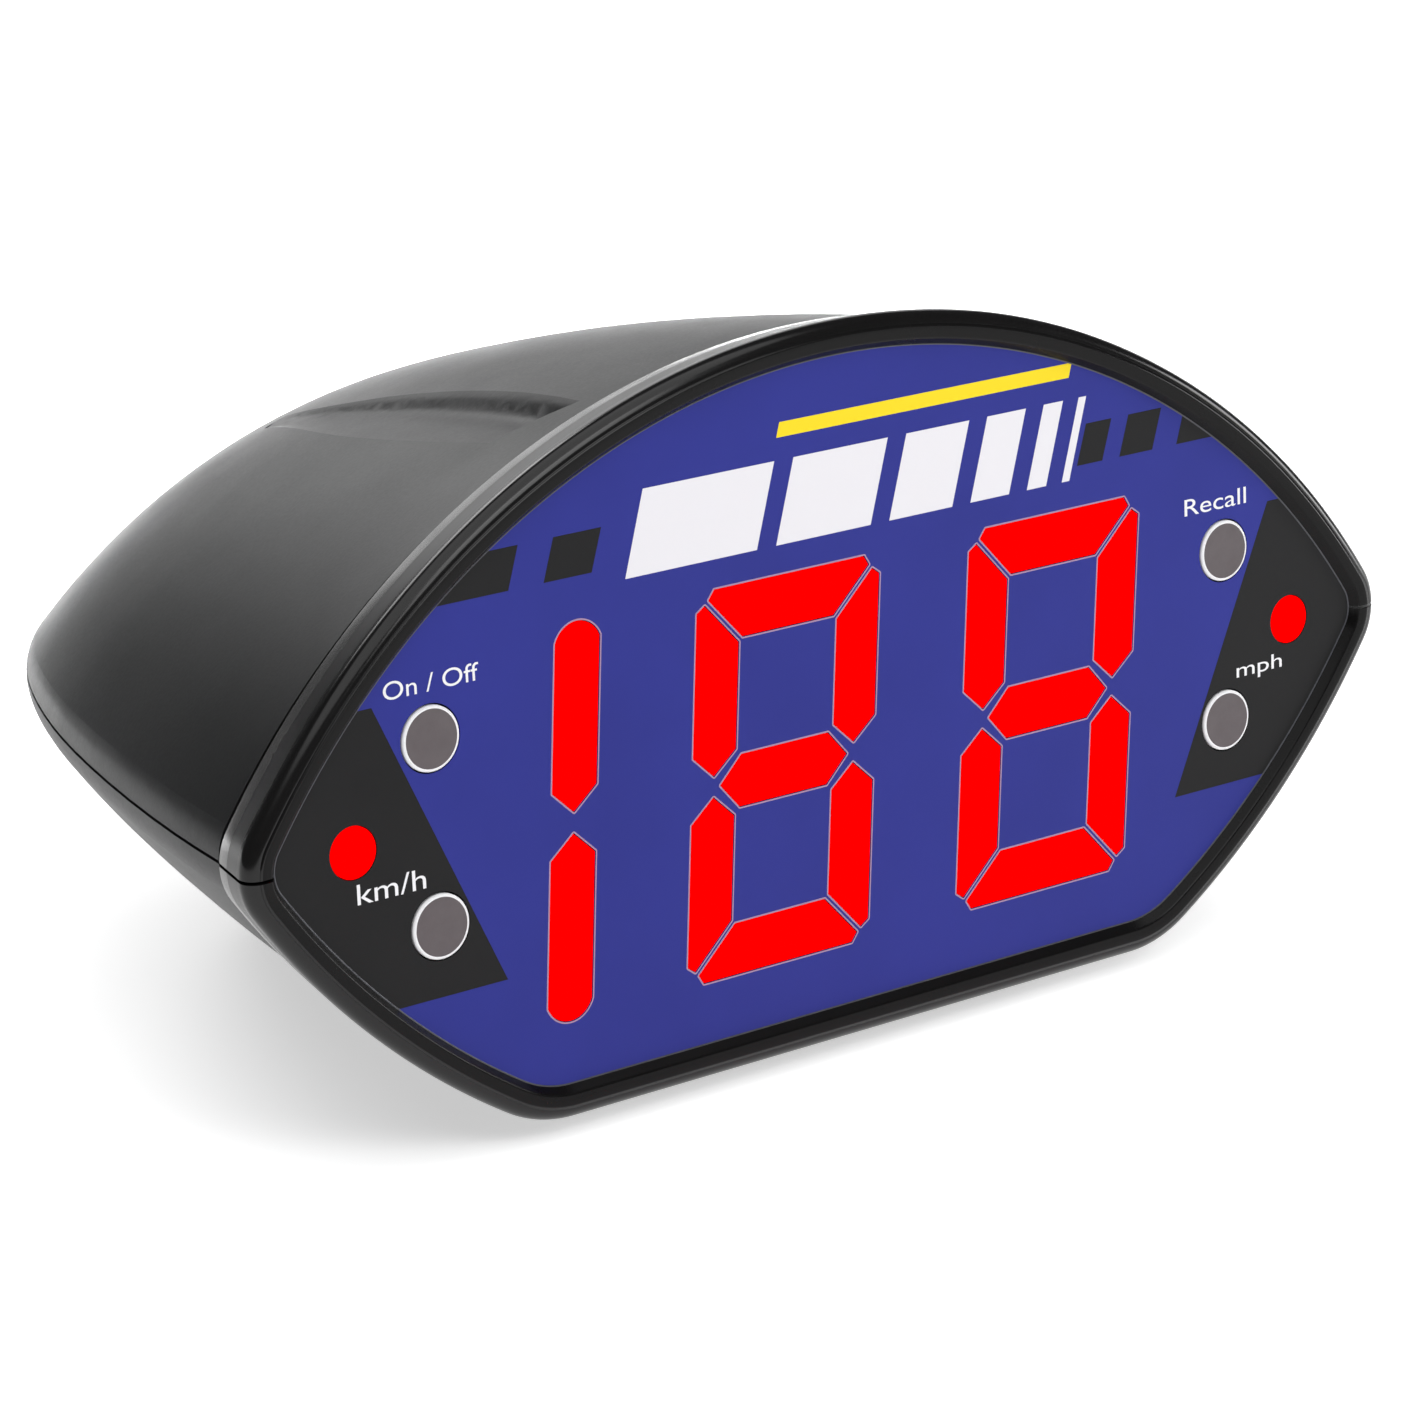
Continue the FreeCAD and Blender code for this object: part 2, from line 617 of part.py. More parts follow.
def face_holes(w0, w1):
    holes = [rod(KEY_HOLE_R, x, y, w0, w1) for x, y in KEYS.values()]
    holes += [rod(LED_HOLE_R, x, y, w0, w1) for x, y in LAMPS.values()]
    for name in DIGIT_NAMES:
        holes += raised(window_faces(name), w0, w1)
    return holes


def board_posts():
    places = [(x, y) for x in (-POST_X, POST_X) for y in (-POST_Y, POST_Y)]
    return places


def radar_posts():
    return [(-RADAR_POST_X, RADAR_POST_Y), (RADAR_POST_X, RADAR_POST_Y)]


overlay = rim_slab(RIM_WIDTH + 0.12, -OVERLAY_T, 0.0).cut(face_holes(-1, 1))
parts["graphic_overlay"] = place_on_face(overlay)

panel = rim_slab(RIM_WIDTH + 0.2, PANEL_BACK_W, -OVERLAY_T)
panel = panel.fuse([rod(POST_R, x, y, DISPLAY_BOARD_W, PANEL_BACK_W) for x, y in board_posts()])
panel = panel.fuse([rod(RADAR_POST_R, x, y, RADAR_FRONT_W, PANEL_BACK_W) for x, y in radar_posts()])
panel = panel.cut(face_holes(-4, 1))
panel = panel.cut([rod(POST_BORE_R, x, y, DISPLAY_BOARD_W - 1, -5.5) for x, y in board_posts()])
panel = panel.cut([rod(RADAR_BORE_R, x, y, -6, -1.6) for x, y in radar_posts()])
parts["front_panel"] = place_on_face(panel)

gasket_ring = rim_slab(RIM_WIDTH + 0.5, LEDGE_W, PANEL_BACK_W)
gasket_ring = gasket_ring.cut(rim_slab(RIM_WIDTH + LEDGE - 0.2, LEDGE_W - 1, PANEL_BACK_W + 1))
parts["panel_gasket"] = place_on_face(gasket_ring)


def key(x, y):
    """Flat round key with a retaining flange behind the panel and a stem down to its switch."""
    cap = rod(KEY_R, x, y, -3.0, KEY_PROUD)
    cap = softened(cap, 0.35, lambda edge: edge.BoundBox.ZMin > KEY_PROUD - 0.1)
    flange = rod(KEY_FLANGE_R, x, y, -3.75, -2.95)
    stem = rod(KEY_STEM_R, x, y, STEM_END_W, -3.7)
    return fuse([cap, flange, stem])


def switch_plunger(x, y):
    return rod(PLUNGER_R, x, y, SWITCH_TOP_W - 0.9, STEM_END_W)


def switch_body(x, y):
    half = SWITCH_HALF
    body = block(x - half, x + half, y - half, y + half, DISPLAY_BOARD_W, SWITCH_TOP_W)
    return body.cut(rod(PLUNGER_R + 0.3, x, y, SWITCH_TOP_W - 1.8, SWITCH_TOP_W + 1))


def indicator_lamp(x, y):
    """Round lamp with a flange behind the panel and two leads to the board."""
    lens = rod(LED_R, x, y, LED_BACK_W, -0.05)
    flange = rod(LED_FLANGE_R, x, y, LED_BACK_W, LED_BACK_W + 1.1)
    lead_end = DISPLAY_BOARD_W - BOARD_T - 0.8
    leads = [rod(LED_LEAD_R, x + side * LED_LEAD_X, y, lead_end, LED_BACK_W + 0.1) for side in (-1, 1)]
    return fuse([lens, flange] + leads)


for key_name, (key_x, key_y) in KEYS.items():
    parts["key_" + key_name] = place_on_face(key(key_x, key_y))
    parts["plunger_" + key_name] = place_on_face(switch_plunger(key_x, key_y))
parts["switch_bodies"] = place_on_face(group([switch_body(x, y) for x, y in KEYS.values()]))
for lamp_name, (lamp_x, lamp_y) in LAMPS.items():
    parts["indicator_" + lamp_name] = place_on_face(indicator_lamp(lamp_x, lamp_y))


# ---- display board and radar module ----
def display_board():
    board_back = DISPLAY_BOARD_W - BOARD_T
    board = rim_slab(BOARD_INSET, board_back, DISPLAY_BOARD_W)
    board = board.common(block(-120, 120, BOARD_LOW, BOARD_HIGH, -40, 0))
    holes = [rod(1.3, x, y, -20, 0) for x, y in board_posts()]
    for x, y in LAMPS.values():
        holes += [rod(LED_LEAD_R + 0.1, x + side * LED_LEAD_X, y, -20, 0) for side in (-1, 1)]
    return board.cut(holes)


def pan_screw(head_r, head_h, shank_r, x, y, seat, way, length):
    """Screw with its head seated at a height and its shank pointing up (way 1) or down (way -1)."""
    if way > 0:
        head = rod(head_r, x, y, seat - head_h, seat)
        shank = rod(shank_r, x, y, seat - 0.1, seat + length)
        slot = rod(head_r * 0.42, x, y, seat - head_h - 1, seat - head_h * 0.45)
    else:
        head = rod(head_r, x, y, seat, seat + head_h)
        shank = rod(shank_r, x, y, seat - length, seat + 0.1)
        slot = rod(head_r * 0.42, x, y, seat + head_h * 0.45, seat + head_h + 1)
    return head.fuse(shank).cut(slot)


def surface_chips(places, size, w_seat):
    """Chip bodies that stand on the back of a board in the face frame."""
    wide, tall, thick = size
    chips = []
    for x, y in places:
        chips.append(block(x - wide / 2, x + wide / 2, y - tall / 2, y + tall / 2, w_seat - thick, w_seat))
    return chips


BOARD_BACK_W = DISPLAY_BOARD_W - BOARD_T
parts["display_board"] = place_on_face(display_board())
driver_chips = surface_chips([(-45, -14), (-12, -22), (40, -22)], (10, 7.5, 2.0), BOARD_BACK_W)
parts["led_drivers"] = place_on_face(group(driver_chips))
screws = [pan_screw(2.2, 1.5, 1.0, x, y, BOARD_BACK_W, 1, 7.5) for x, y in board_posts()]
parts["board_screws"] = place_on_face(group(screws))

RADAR_BACK_W = RADAR_FRONT_W - RADAR_BOARD_T
radar_board = rounded_block(-RADAR_HALF_X, RADAR_HALF_X, RADAR_LOW, RADAR_HIGH, RADAR_BACK_W, RADAR_FRONT_W, 1.5)
radar_board = radar_board.cut([rod(0.95, x, y, -10, 0) for x, y in radar_posts()])
parts["radar_board"] = place_on_face(radar_board)
patches = []
for column in range(5):
    for row in range(2):
        patch_x = -16.5 + PATCH_PITCH_X * column
        patch_y = 32.2 + PATCH_PITCH_Y * row
        patches.append(block(patch_x, patch_x + PATCH_WIDE, patch_y, patch_y + PATCH_TALL, RADAR_FRONT_W,
                             RADAR_FRONT_W + PATCH_T))
parts["radar_antenna_patches"] = place_on_face(group(patches))
shield = rounded_block(-SHIELD_HALF_X, SHIELD_HALF_X, SHIELD_LOW, SHIELD_HIGH, SHIELD_BACK_W, RADAR_BACK_W, 1.0)
shield = shield.cut(block(SHIELD_T - SHIELD_HALF_X, SHIELD_HALF_X - SHIELD_T, SHIELD_LOW + SHIELD_T,
                          SHIELD_HIGH - SHIELD_T, SHIELD_BACK_W + SHIELD_T, 0))
parts["radar_shield"] = place_on_face(shield)
screws = [pan_screw(1.7, 1.2, 0.75, x, y, RADAR_BACK_W, 1, 3.8) for x, y in radar_posts()]
parts["radar_screws"] = place_on_face(group(screws))


# ---- battery bay ----
def battery_tray():
    out_x = TRAY_HALF_X + TRAY_WALL
    front = BAY_FRONT - TRAY_WALL
    back = BAY_BACK + TRAY_WALL
    tray = rounded_block(-out_x, out_x, front, back, -43, TRAY_TOP, 2.0)
    tray = tray.cut(block(-TRAY_HALF_X, TRAY_HALF_X, BAY_FRONT, BAY_BACK, -50, TRAY_TOP - TRAY_WALL))
    ears = []
    for x, depth in tray_ear_places():
        inner_x = math.copysign(out_x - 1, x)
        outer_x = x + math.copysign(EAR_HALF, x)
        low, high = sorted((inner_x, outer_x))
        ears.append(block(low, high, depth - EAR_HALF, depth + EAR_HALF, TRAY_TOP - EAR_T, TRAY_TOP))
    tray = tray.fuse(ears)
    tray = tray.cut([rod(1.6, x, depth, TRAY_TOP - 4, TRAY_TOP + 2) for x, depth in tray_ear_places()])
    stands = [rod(2.8, x, depth, TRAY_TOP - 0.5, MAIN_BOARD_Z) for x, depth in main_board_posts()]
    tray = tray.fuse(stands)
    tray = tray.cut([rod(1.0, x, depth, TRAY_TOP + 0.4, MAIN_BOARD_Z + 1) for x, depth in main_board_posts()])
    notches = []
    for side in (-1, 1):
        tab_x = side * DOOR_TAB_X
        notches.append(block(tab_x - 5.2, tab_x + 5.2, BAY_BACK - 3, back + 3, -50, -37.5))
    for row in (-1, 1):
        depth = BAY_DEPTH + row * CELL_ROW
        slot_z = CELL_Z + TAB_RISE
        notches.append(block(-out_x - 1, -TRAY_HALF_X + 1, depth - 1.8, depth + 1.8, slot_z - 0.4, slot_z + 0.4))
    return tray.cut(notches)


def main_board_posts():
    return [(x, depth) for x in (-MAIN_POST_X, MAIN_POST_X) for depth in MAIN_POST_DEPTHS]


def cell(row, place, way):
    """Size C cell lying along X; way is the side its positive end points to."""
    depth = BAY_DEPTH + row * CELL_ROW
    nub = 1.5
    start = place - way * CELL_L / 2
    can = rod_along(CELL_R, Vec(start, depth, CELL_Z), X_AXIS * way, CELL_L - nub)
    can = can.makeFillet(0.8, [edge for edge in can.Edges if edge.Closed and edge.Length > 60])
    tip = rod_along(3.0, Vec(start + way * (CELL_L - nub - 0.2), depth, CELL_Z), X_AXIS * way, nub + 0.2)
    return can.fuse(tip)


def leaf_spring(row, x, way):
    """Contact spring of a negative cell end: a bent strip that bows towards the cell."""
    depth = BAY_DEPTH + row * CELL_ROW
    bow = [(0.0, -7.0), (2.6, -3.2), (3.6, 0.0), (2.6, 3.2), (0.0, 7.0)]
    near = [Vec(x + way * rise, depth + step, 0) for rise, step in bow]
    far = [point + Vec(way * LEAF_T, 0, 0) for point in reversed(near)]
    strip = polygon_face(near + far).extrude(Vec(0, 0, 2 * LEAF_HALF))
    strip.translate(Vec(0, 0, CELL_Z - LEAF_HALF))
    return strip


def contact_plate(x0, x1, depth, half_width, tall):
    return block(x0, x1, depth - half_width, depth + half_width, CELL_Z - tall, CELL_Z + tall)


def battery_door(skin_outer, skin_inner):
    """Cover cut out of the housing's own skin, with hook tabs, hinge knuckles, ribs and a finger notch."""
    front = BAY_DEPTH - DOOR_HALF_Y
    back = BAY_DEPTH + DOOR_HALF_Y
    zone = block(-DOOR_HALF_X, DOOR_HALF_X, front, back, -60, -30)
    skin = skin_outer.cut(skin_inner).common(place_in_body(zone))
    ribs = []
    for row in (-1, 1):
        depth = BAY_DEPTH + row * CELL_ROW
        ribs.append(block(-44, 44, depth - 0.8, depth + 0.8, -43, CELL_BOTTOM - 0.6))
    for side in (-1, 1):
        tab_x = side * DOOR_TAB_X
        ribs.append(block(tab_x - 4.5, tab_x + 4.5, back - 4.0, back + 3.1, -41.5, -40.0))
        ribs.append(block(tab_x - 4.5, tab_x + 4.5, back - 4.0, back - 0.1, -43, -40.5))
        ribs.append(door_knuckle(tab_x, 4.5, KNUCKLE_R))
    door = skin.fuse(place_in_body(group(ribs)))
    notch = rod(7.5, 0, front - 3.0, -60, -BODY_BOTTOM + 1.3)
    return door.cut(place_in_body(notch)).removeSplitter()


tray_body = place_in_body(battery_tray())
tray_limit = place_in_body(body_loft(WALL + 0.35))
parts["battery_tray"] = tray_body.common(tray_limit)
screws = [pan_screw(2.9, 1.8, 1.1, x, depth, TRAY_TOP, -1, 9.0) for x, depth in tray_ear_places()]
parts["tray_screws"] = place_in_body(group(screws))

ROW_SHIFT = TRAY_HALF_X - 0.5 - CELL_L
CELLS = {"cell_1": (-1, ROW_SHIFT - CELL_L / 2, 1), "cell_2": (-1, ROW_SHIFT + CELL_L / 2, 1),
         "cell_3": (1, CELL_L / 2 - ROW_SHIFT, -1), "cell_4": (1, -CELL_L / 2 - ROW_SHIFT, -1)}
for cell_name, (cell_row, cell_place, cell_way) in CELLS.items():
    parts[cell_name] = place_in_body(cell(cell_row, cell_place, cell_way))

PLATE_T = 0.4
LEAF_T = 0.35
LEAF_HALF = 3.0
TAB_END_X = -TRAY_HALF_X - TRAY_WALL - 2.4
plate_in = TRAY_HALF_X - PLATE_T - 0.05
plate_out = TRAY_HALF_X - 0.05
bridge = contact_plate(plate_in, plate_out, BAY_DEPTH, 19.0, 5.5)
parts["contact_bridge"] = place_in_body(bridge)
terminals = []
for cell_row in (-1, 1):
    row_depth = BAY_DEPTH + cell_row * CELL_ROW
    terminal = contact_plate(-plate_out, -plate_in, row_depth, 5.5, 5.5)
    tab = block(TAB_END_X, -plate_in, row_depth - 1.5, row_depth + 1.5,
                CELL_Z + TAB_RISE - PLATE_T / 2, CELL_Z + TAB_RISE + PLATE_T / 2)
    terminals.append(terminal.fuse(tab))
parts["contact_terminals"] = place_in_body(group(terminals))
springs = [leaf_spring(-1, -plate_in + 0.02, 1), leaf_spring(1, plate_in - 0.02, -1)]
parts["contact_springs"] = place_in_body(group(springs))
housing_skin = place_in_body(body_loft(0.0))
parts["battery_door"] = battery_door(housing_skin, inner_skin)


# ---- main board ----
BOARD_TOP = MAIN_BOARD_Z + BOARD_T
main_board = rounded_block(-MAIN_BOARD_HALF_X, MAIN_BOARD_HALF_X, MAIN_BOARD_FRONT, MAIN_BOARD_BACK,
                           MAIN_BOARD_Z, BOARD_TOP, 2.0)
main_board = main_board.cut([rod(1.3, x, depth, -10, 5) for x, depth in main_board_posts()])
parts["main_board"] = place_in_body(main_board)
parts["microcontroller"] = place_in_body(rounded_block(-8, 6, 55, 69, BOARD_TOP, BOARD_TOP + 1.4, 0.8))
capacitors = []
for cap_x, cap_depth in [(26, 52), (26, 63), (26, 74)]:
    can = rod(4.0, cap_x, cap_depth, BOARD_TOP, BOARD_TOP + 9.5)
    capacitors.append(softened(can, 0.6, lambda edge: edge.BoundBox.ZMin > BOARD_TOP + 9))
parts["capacitors"] = place_in_body(group(capacitors))
inductor = rod(6.0, -28, 74, BOARD_TOP, BOARD_TOP + 5.0).cut(rod(2.4, -28, 74, BOARD_TOP - 1, BOARD_TOP + 8))
parts["power_inductor"] = place_in_body(inductor)
regulator = block(38, 44, 56, 66, BOARD_TOP, BOARD_TOP + 4.4).fuse(
    block(38, 39.3, 56, 66, BOARD_TOP, BOARD_TOP + 13))
parts["voltage_regulator"] = place_in_body(regulator)


def header(x, depth, wide, deep, tall):
    """Open wire-to-board connector on the main board."""
    body = block(x - wide / 2, x + wide / 2, depth - deep / 2, depth + deep / 2, BOARD_TOP, BOARD_TOP + tall)
    inner = block(x - wide / 2 + 0.8, x + wide / 2 - 0.8, depth - deep / 2 + 0.8, depth + deep / 2 - 0.8,
                  BOARD_TOP + 1, BOARD_TOP + tall + 1)
    return body.cut(inner)


parts["lead_connectors"] = place_in_body(group([
    header(-40, 58, 6, 8, 6), header(0, 82.5, 8, 6, 6), header(24, 42.5, 9, 6, 6)]))
screws = [pan_screw(2.2, 1.5, 0.95, x, depth, BOARD_TOP, -1, 6.0) for x, depth in main_board_posts()]
parts["main_board_screws"] = place_in_body(group(screws))

# ---- underside and back: tripod insert, feet, power jack, screws ----
insert_top = -BODY_BOTTOM + INSERT_L
insert = rod(INSERT_R - 0.02, 0, INSERT_DEPTH, -BODY_BOTTOM + 0.05, insert_top - 0.1)
insert = insert.cut(rod(TRIPOD_THREAD_R, 0, INSERT_DEPTH, -60, insert_top - 1.6))
parts["tripod_insert"] = place_in_body(insert)

for foot_name, (foot_x, foot_depth) in FOOT_PLACES.items():
    foot = rod(FOOT_R, foot_x, foot_depth, -PARTING_Z, -BODY_BOTTOM + 1.15)
    foot = softened(foot, 0.9, lambda edge: edge.BoundBox.ZMax < -PARTING_Z + 0.1)
    parts["foot_" + foot_name] = place_in_body(foot)

jack_flange = rod_along(JACK_FLANGE_R, Vec(0, BODY_END, JACK_Z), Y_AXIS, 1.0)
jack_body = rod_along(JACK_R, Vec(0, BODY_END - JACK_LENGTH, JACK_Z), Y_AXIS, JACK_LENGTH + 0.5)
nut_corners = []
for nut_corner in range(7):
    nut_turn = math.radians(60 * nut_corner)
    nut_corners.append(Vec(JACK_NUT_R * math.cos(nut_turn), BODY_END - WALL - 3.6,
                           JACK_Z + JACK_NUT_R * math.sin(nut_turn)))
jack_nut = Part.Face(Part.makePolygon(nut_corners)).extrude(Vec(0, 2.4, 0))
jack_bore = rod_along(JACK_BORE_R, Vec(0, BODY_END - 9, JACK_Z), Y_AXIS, 20)
parts["power_jack"] = place_in_body(fuse([jack_flange, jack_body]).cut(jack_bore))
jack_nut = jack_nut.cut(rod_along(JACK_R + 0.02, Vec(0, 90, JACK_Z), Y_AXIS, 60))
parts["power_jack_nut"] = place_in_body(jack_nut)
parts["power_jack_pin"] = place_in_body(rod_along(JACK_PIN_R, Vec(0, BODY_END - 9, JACK_Z), Y_AXIS, 8.2))

screws = [pan_screw(3.3, 2.3, SCREW_R, x, depth, -30.0, 1, 38.0) for x, depth in SCREW_PLACES]
parts["housing_screws"] = place_in_body(group(screws))


# ---- wiring inside the housing ----
def run_of(points, radius):
    """Insulated wire along a route with rounded corners."""
    edges = []
    bend = 4.0
    previous = points[0]
    for i in range(1, len(points) - 1):
        to_last = (points[i - 1] - points[i]).normalize()
        to_next = (points[i + 1] - points[i]).normalize()
        begin = points[i] + to_last * bend
        end = points[i] + to_next * bend
        half_angle = to_last.getAngle(to_next) / 2
        bisector = (to_last + to_next).normalize()
        centre_gap = bend / math.cos(half_angle)
        round_r = bend * math.tan(half_angle)
        middle = points[i] + bisector * (centre_gap - round_r)
        edges.append(Part.makeLine(previous, begin))
        edges.append(Part.Arc(begin, middle, end).toShape())
        previous = end
    edges.append(Part.makeLine(previous, points[-1]))
    path = Part.Wire(edges)
    direction = points[1] - points[0]
    profile = Part.Wire([Part.makeCircle(radius, points[0], direction)])
    return path.makePipeShell([profile], True, False)


LEAD_TOP = BOARD_TOP + 1.2
battery_leads = []
lead_x = TAB_END_X + 1.0
for lead_row in (-1, 1):
    row_depth = BAY_DEPTH + lead_row * CELL_ROW
    route = [Vec(lead_x, row_depth, CELL_Z + TAB_RISE + PLATE_T / 2), Vec(lead_x, row_depth, 8),
             Vec(-40, 58 + lead_row * 1.6, 8),
             Vec(-40, 58 + lead_row * 1.6, LEAD_TOP)]
    battery_leads.append(run_of(route, 0.8))
parts["battery_leads"] = place_in_body(group(battery_leads))
power_leads = []
for side in (-1, 1):
    route = [Vec(side * 1.9, BODY_END - 12.1, JACK_Z), Vec(side * 1.9, BODY_END - 21, JACK_Z),
             Vec(side * 1.9, 96, 9), Vec(side * 1.9, 82.5, 9), Vec(side * 1.9, 82.5, LEAD_TOP)]
    power_leads.append(run_of(route, 0.8))
parts["power_leads"] = place_in_body(group(power_leads))
radar_leads = []
for strand in (-1, 0, 1):
    route = [Vec(24 + strand * 1.9, 8.3, 34), Vec(24 + strand * 1.9, 27, 34),
             Vec(24 + strand * 1.9, 42.5, 14), Vec(24 + strand * 1.9, 42.5, LEAD_TOP)]
    radar_leads.append(run_of(route, 0.6))
parts["radar_leads"] = place_in_body(group(radar_leads))


def ribbon(points, half_width, thickness):
    """Flat cable: a bent strip, as wide as the connectors at its ends."""
    lower = [Vec(-half_width, y, z) for y, z in points]
    upper = [Vec(-half_width, y, z + thickness) for y, z in reversed(points)]
    return polygon_face(lower + upper).extrude(Vec(2 * half_width, 0, 0))


parts["ribbon_connectors"] = place_in_body(group([
    block(-8, 8, 17.6, 21.6, -13, -8), block(-8, 8, 40, 45, BOARD_TOP, BOARD_TOP + 6)]))
ribbon_route = [(21.6, -11.0), (25.0, -10.6), (28.0, -8.0), (30.0, -2.0), (32.0, 4.0), (35.0, 6.6),
                (39.0, 7.0), (44.0, 6.2)]
parts["ribbon_cable"] = place_in_body(ribbon(ribbon_route, 6.5, 0.9))

os.makedirs("parts", exist_ok=True)
for node, shape in parts.items():
    shape.exportStep("parts/" + node + ".step")
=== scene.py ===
import math

import bmesh
import bpy
from mathutils import Matrix, Vector


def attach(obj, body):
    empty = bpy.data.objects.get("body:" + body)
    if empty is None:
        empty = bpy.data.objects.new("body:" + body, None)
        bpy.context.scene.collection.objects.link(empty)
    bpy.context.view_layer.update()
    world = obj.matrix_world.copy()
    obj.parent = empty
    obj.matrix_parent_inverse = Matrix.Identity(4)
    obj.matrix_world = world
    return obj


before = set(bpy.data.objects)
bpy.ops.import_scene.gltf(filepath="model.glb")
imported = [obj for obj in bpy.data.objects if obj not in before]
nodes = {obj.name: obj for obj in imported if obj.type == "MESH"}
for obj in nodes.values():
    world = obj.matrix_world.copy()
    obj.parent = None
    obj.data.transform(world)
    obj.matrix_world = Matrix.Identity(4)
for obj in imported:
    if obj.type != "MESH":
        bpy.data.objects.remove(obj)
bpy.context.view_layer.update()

# ---- the same reference values as the CAD, in millimetres and degrees ----
LEAN = 3.7
FACE_Y = -62.0
PARTING_Z = 49.4
MM = 0.001
SIN = math.sin(math.radians(LEAN))
COS = math.cos(math.radians(LEAN))
KEY_X = 74.15
KEY_MIDDLE = 0.35
KEY_STEP = 13.55


def on_face(u, v, w):
    """Face coordinates in millimetres to a point in metres."""
    return Vector((u, FACE_Y + v * SIN - w * COS, PARTING_Z + v * COS + w * SIN)) * MM


# ---- node graph helper ----
class Finish:
    """A procedural material under construction."""

    def __init__(self, name, colour=(0.5, 0.5, 0.5), roughness=0.5, metallic=0.0, specular=0.5):
        self.material = bpy.data.materials.new(name)
        self.material.use_nodes = True
        self.tree = self.material.node_tree
        self.shader = self.tree.nodes["Principled BSDF"]
        self.shader.inputs["Base Color"].default_value = (*colour, 1)
        self.shader.inputs["Roughness"].default_value = roughness
        self.shader.inputs["Metallic"].default_value = metallic
        self.shader.inputs["Specular IOR Level"].default_value = specular
        self.material.diffuse_color = (*colour, 1)
        self._place = None

    def node(self, kind, **settings):
        made = self.tree.nodes.new(kind)
        for key, value in settings.items():
            setattr(made, key, value)
        return made

    def feed(self, socket, value):
        if isinstance(value, bpy.types.NodeSocket):
            self.tree.links.new(value, socket)
        else:
            socket.default_value = value

    def place(self):
        """Point in the object's own frame, in millimetres."""
        if self._place is None:
            source = self.node("ShaderNodeTexCoord")
            scale = self.node("ShaderNodeVectorMath", operation="SCALE")
            self.feed(scale.inputs[0], source.outputs["Object"])
            scale.inputs["Scale"].default_value = 1 / MM
            self._place = scale.outputs[0]
        return self._place

    def along(self, direction, origin=(0, 0, 0)):
        """Distance along a direction from an origin, in millimetres."""
        shift = self.node("ShaderNodeVectorMath", operation="SUBTRACT")
        self.feed(shift.inputs[0], self.place())
        shift.inputs[1].default_value = origin
        dot = self.node("ShaderNodeVectorMath", operation="DOT_PRODUCT")
        self.feed(dot.inputs[0], shift.outputs[0])
        dot.inputs[1].default_value = direction
        return dot.outputs["Value"]

    def face_uvw(self):
        centre = (0, FACE_Y, PARTING_Z)
        return (self.along((1, 0, 0), centre), self.along((0, SIN, COS), centre),
                self.along((0, -COS, SIN), centre))

    def math(self, operation, a, b=0.0, c=0.0, clamp=False):
        made = self.node("ShaderNodeMath", operation=operation, use_clamp=clamp)
        self.feed(made.inputs[0], a)
        self.feed(made.inputs[1], b)
        if len(made.inputs) > 2:
            self.feed(made.inputs[2], c)
        return made.outputs[0]

    def between(self, value, low, high):
        """1 where low < value < high."""
        above = self.math("GREATER_THAN", value, low)
        below = self.math("LESS_THAN", value, high)
        return self.math("MULTIPLY", above, below)

    def either(self, *masks):
        total = masks[0]
        for mask in masks[1:]:
            total = self.math("MAXIMUM", total, mask)
        return total

    def both(self, *masks):
        total = masks[0]
        for mask in masks[1:]:
            total = self.math("MULTIPLY", total, mask)
        return total

    def spread(self, value, from_low, from_high, to_low, to_high):
        made = self.node("ShaderNodeMapRange")
        self.feed(made.inputs[0], value)
        for i, number in enumerate((from_low, from_high, to_low, to_high)):
            made.inputs[i + 1].default_value = number
        return made.outputs[0]

    def mix(self, factor, a, b):
        made = self.node("ShaderNodeMix", data_type="RGBA")
        self.feed(made.inputs[0], factor)
        for socket, value in ((made.inputs[6], a), (made.inputs[7], b)):
            self.feed(socket, value if isinstance(value, bpy.types.NodeSocket) else (*value, 1))
        return made.outputs[2]

    def noise(self, size_mm, detail=2.0, roughness=0.5, stretch=None):
        made = self.node("ShaderNodeTexNoise")
        made.inputs["Scale"].default_value = 1 / size_mm
        made.inputs["Detail"].default_value = detail
        made.inputs["Roughness"].default_value = roughness
        vector = self.place()
        if stretch:
            scaled = self.node("ShaderNodeVectorMath", operation="MULTIPLY")
            self.feed(scaled.inputs[0], vector)
            scaled.inputs[1].default_value = stretch
            vector = scaled.outputs[0]
        self.feed(made.inputs["Vector"], vector)
        return made.outputs[0]

    def cells(self, size_mm, feature="F1"):
        made = self.node("ShaderNodeTexVoronoi", feature=feature)
        made.inputs["Scale"].default_value = 1 / size_mm
        self.feed(made.inputs["Vector"], self.place())
        return made.outputs[0]

    def colour(self, value):
        self.feed(self.shader.inputs["Base Color"], value)

    def rough(self, value):
        self.feed(self.shader.inputs["Roughness"], value)

    def bump(self, height, depth_mm, strength=1.0):
        made = self.node("ShaderNodeBump")
        made.inputs["Strength"].default_value = strength
        made.inputs["Distance"].default_value = depth_mm * MM
        self.feed(made.inputs["Height"], height)
        self.feed(self.shader.inputs["Normal"], made.outputs[0])


def mottled(name, colour, variation, size_mm, roughness, rough_spread=0.06, bump_mm=0.0, **more):
    """Moulded or painted surface: slight colour and gloss variation, with an optional fine grain."""
    made = Finish(name, colour, roughness, **more)
    cloud = made.noise(size_mm, 3.0)
    dark = tuple(c * (1 - variation) for c in colour)
    light = tuple(min(c * (1 + variation), 1.0) for c in colour)
    made.colour(made.mix(made.spread(cloud, 0.3, 0.7, 0.0, 1.0), dark, light))
    fine = made.noise(size_mm * 0.23, 2.0)
    made.rough(made.spread(fine, 0.3, 0.7, roughness - rough_spread, roughness + rough_spread))
    if bump_mm:
        made.bump(made.noise(0.45, 1.5), bump_mm)
    return made


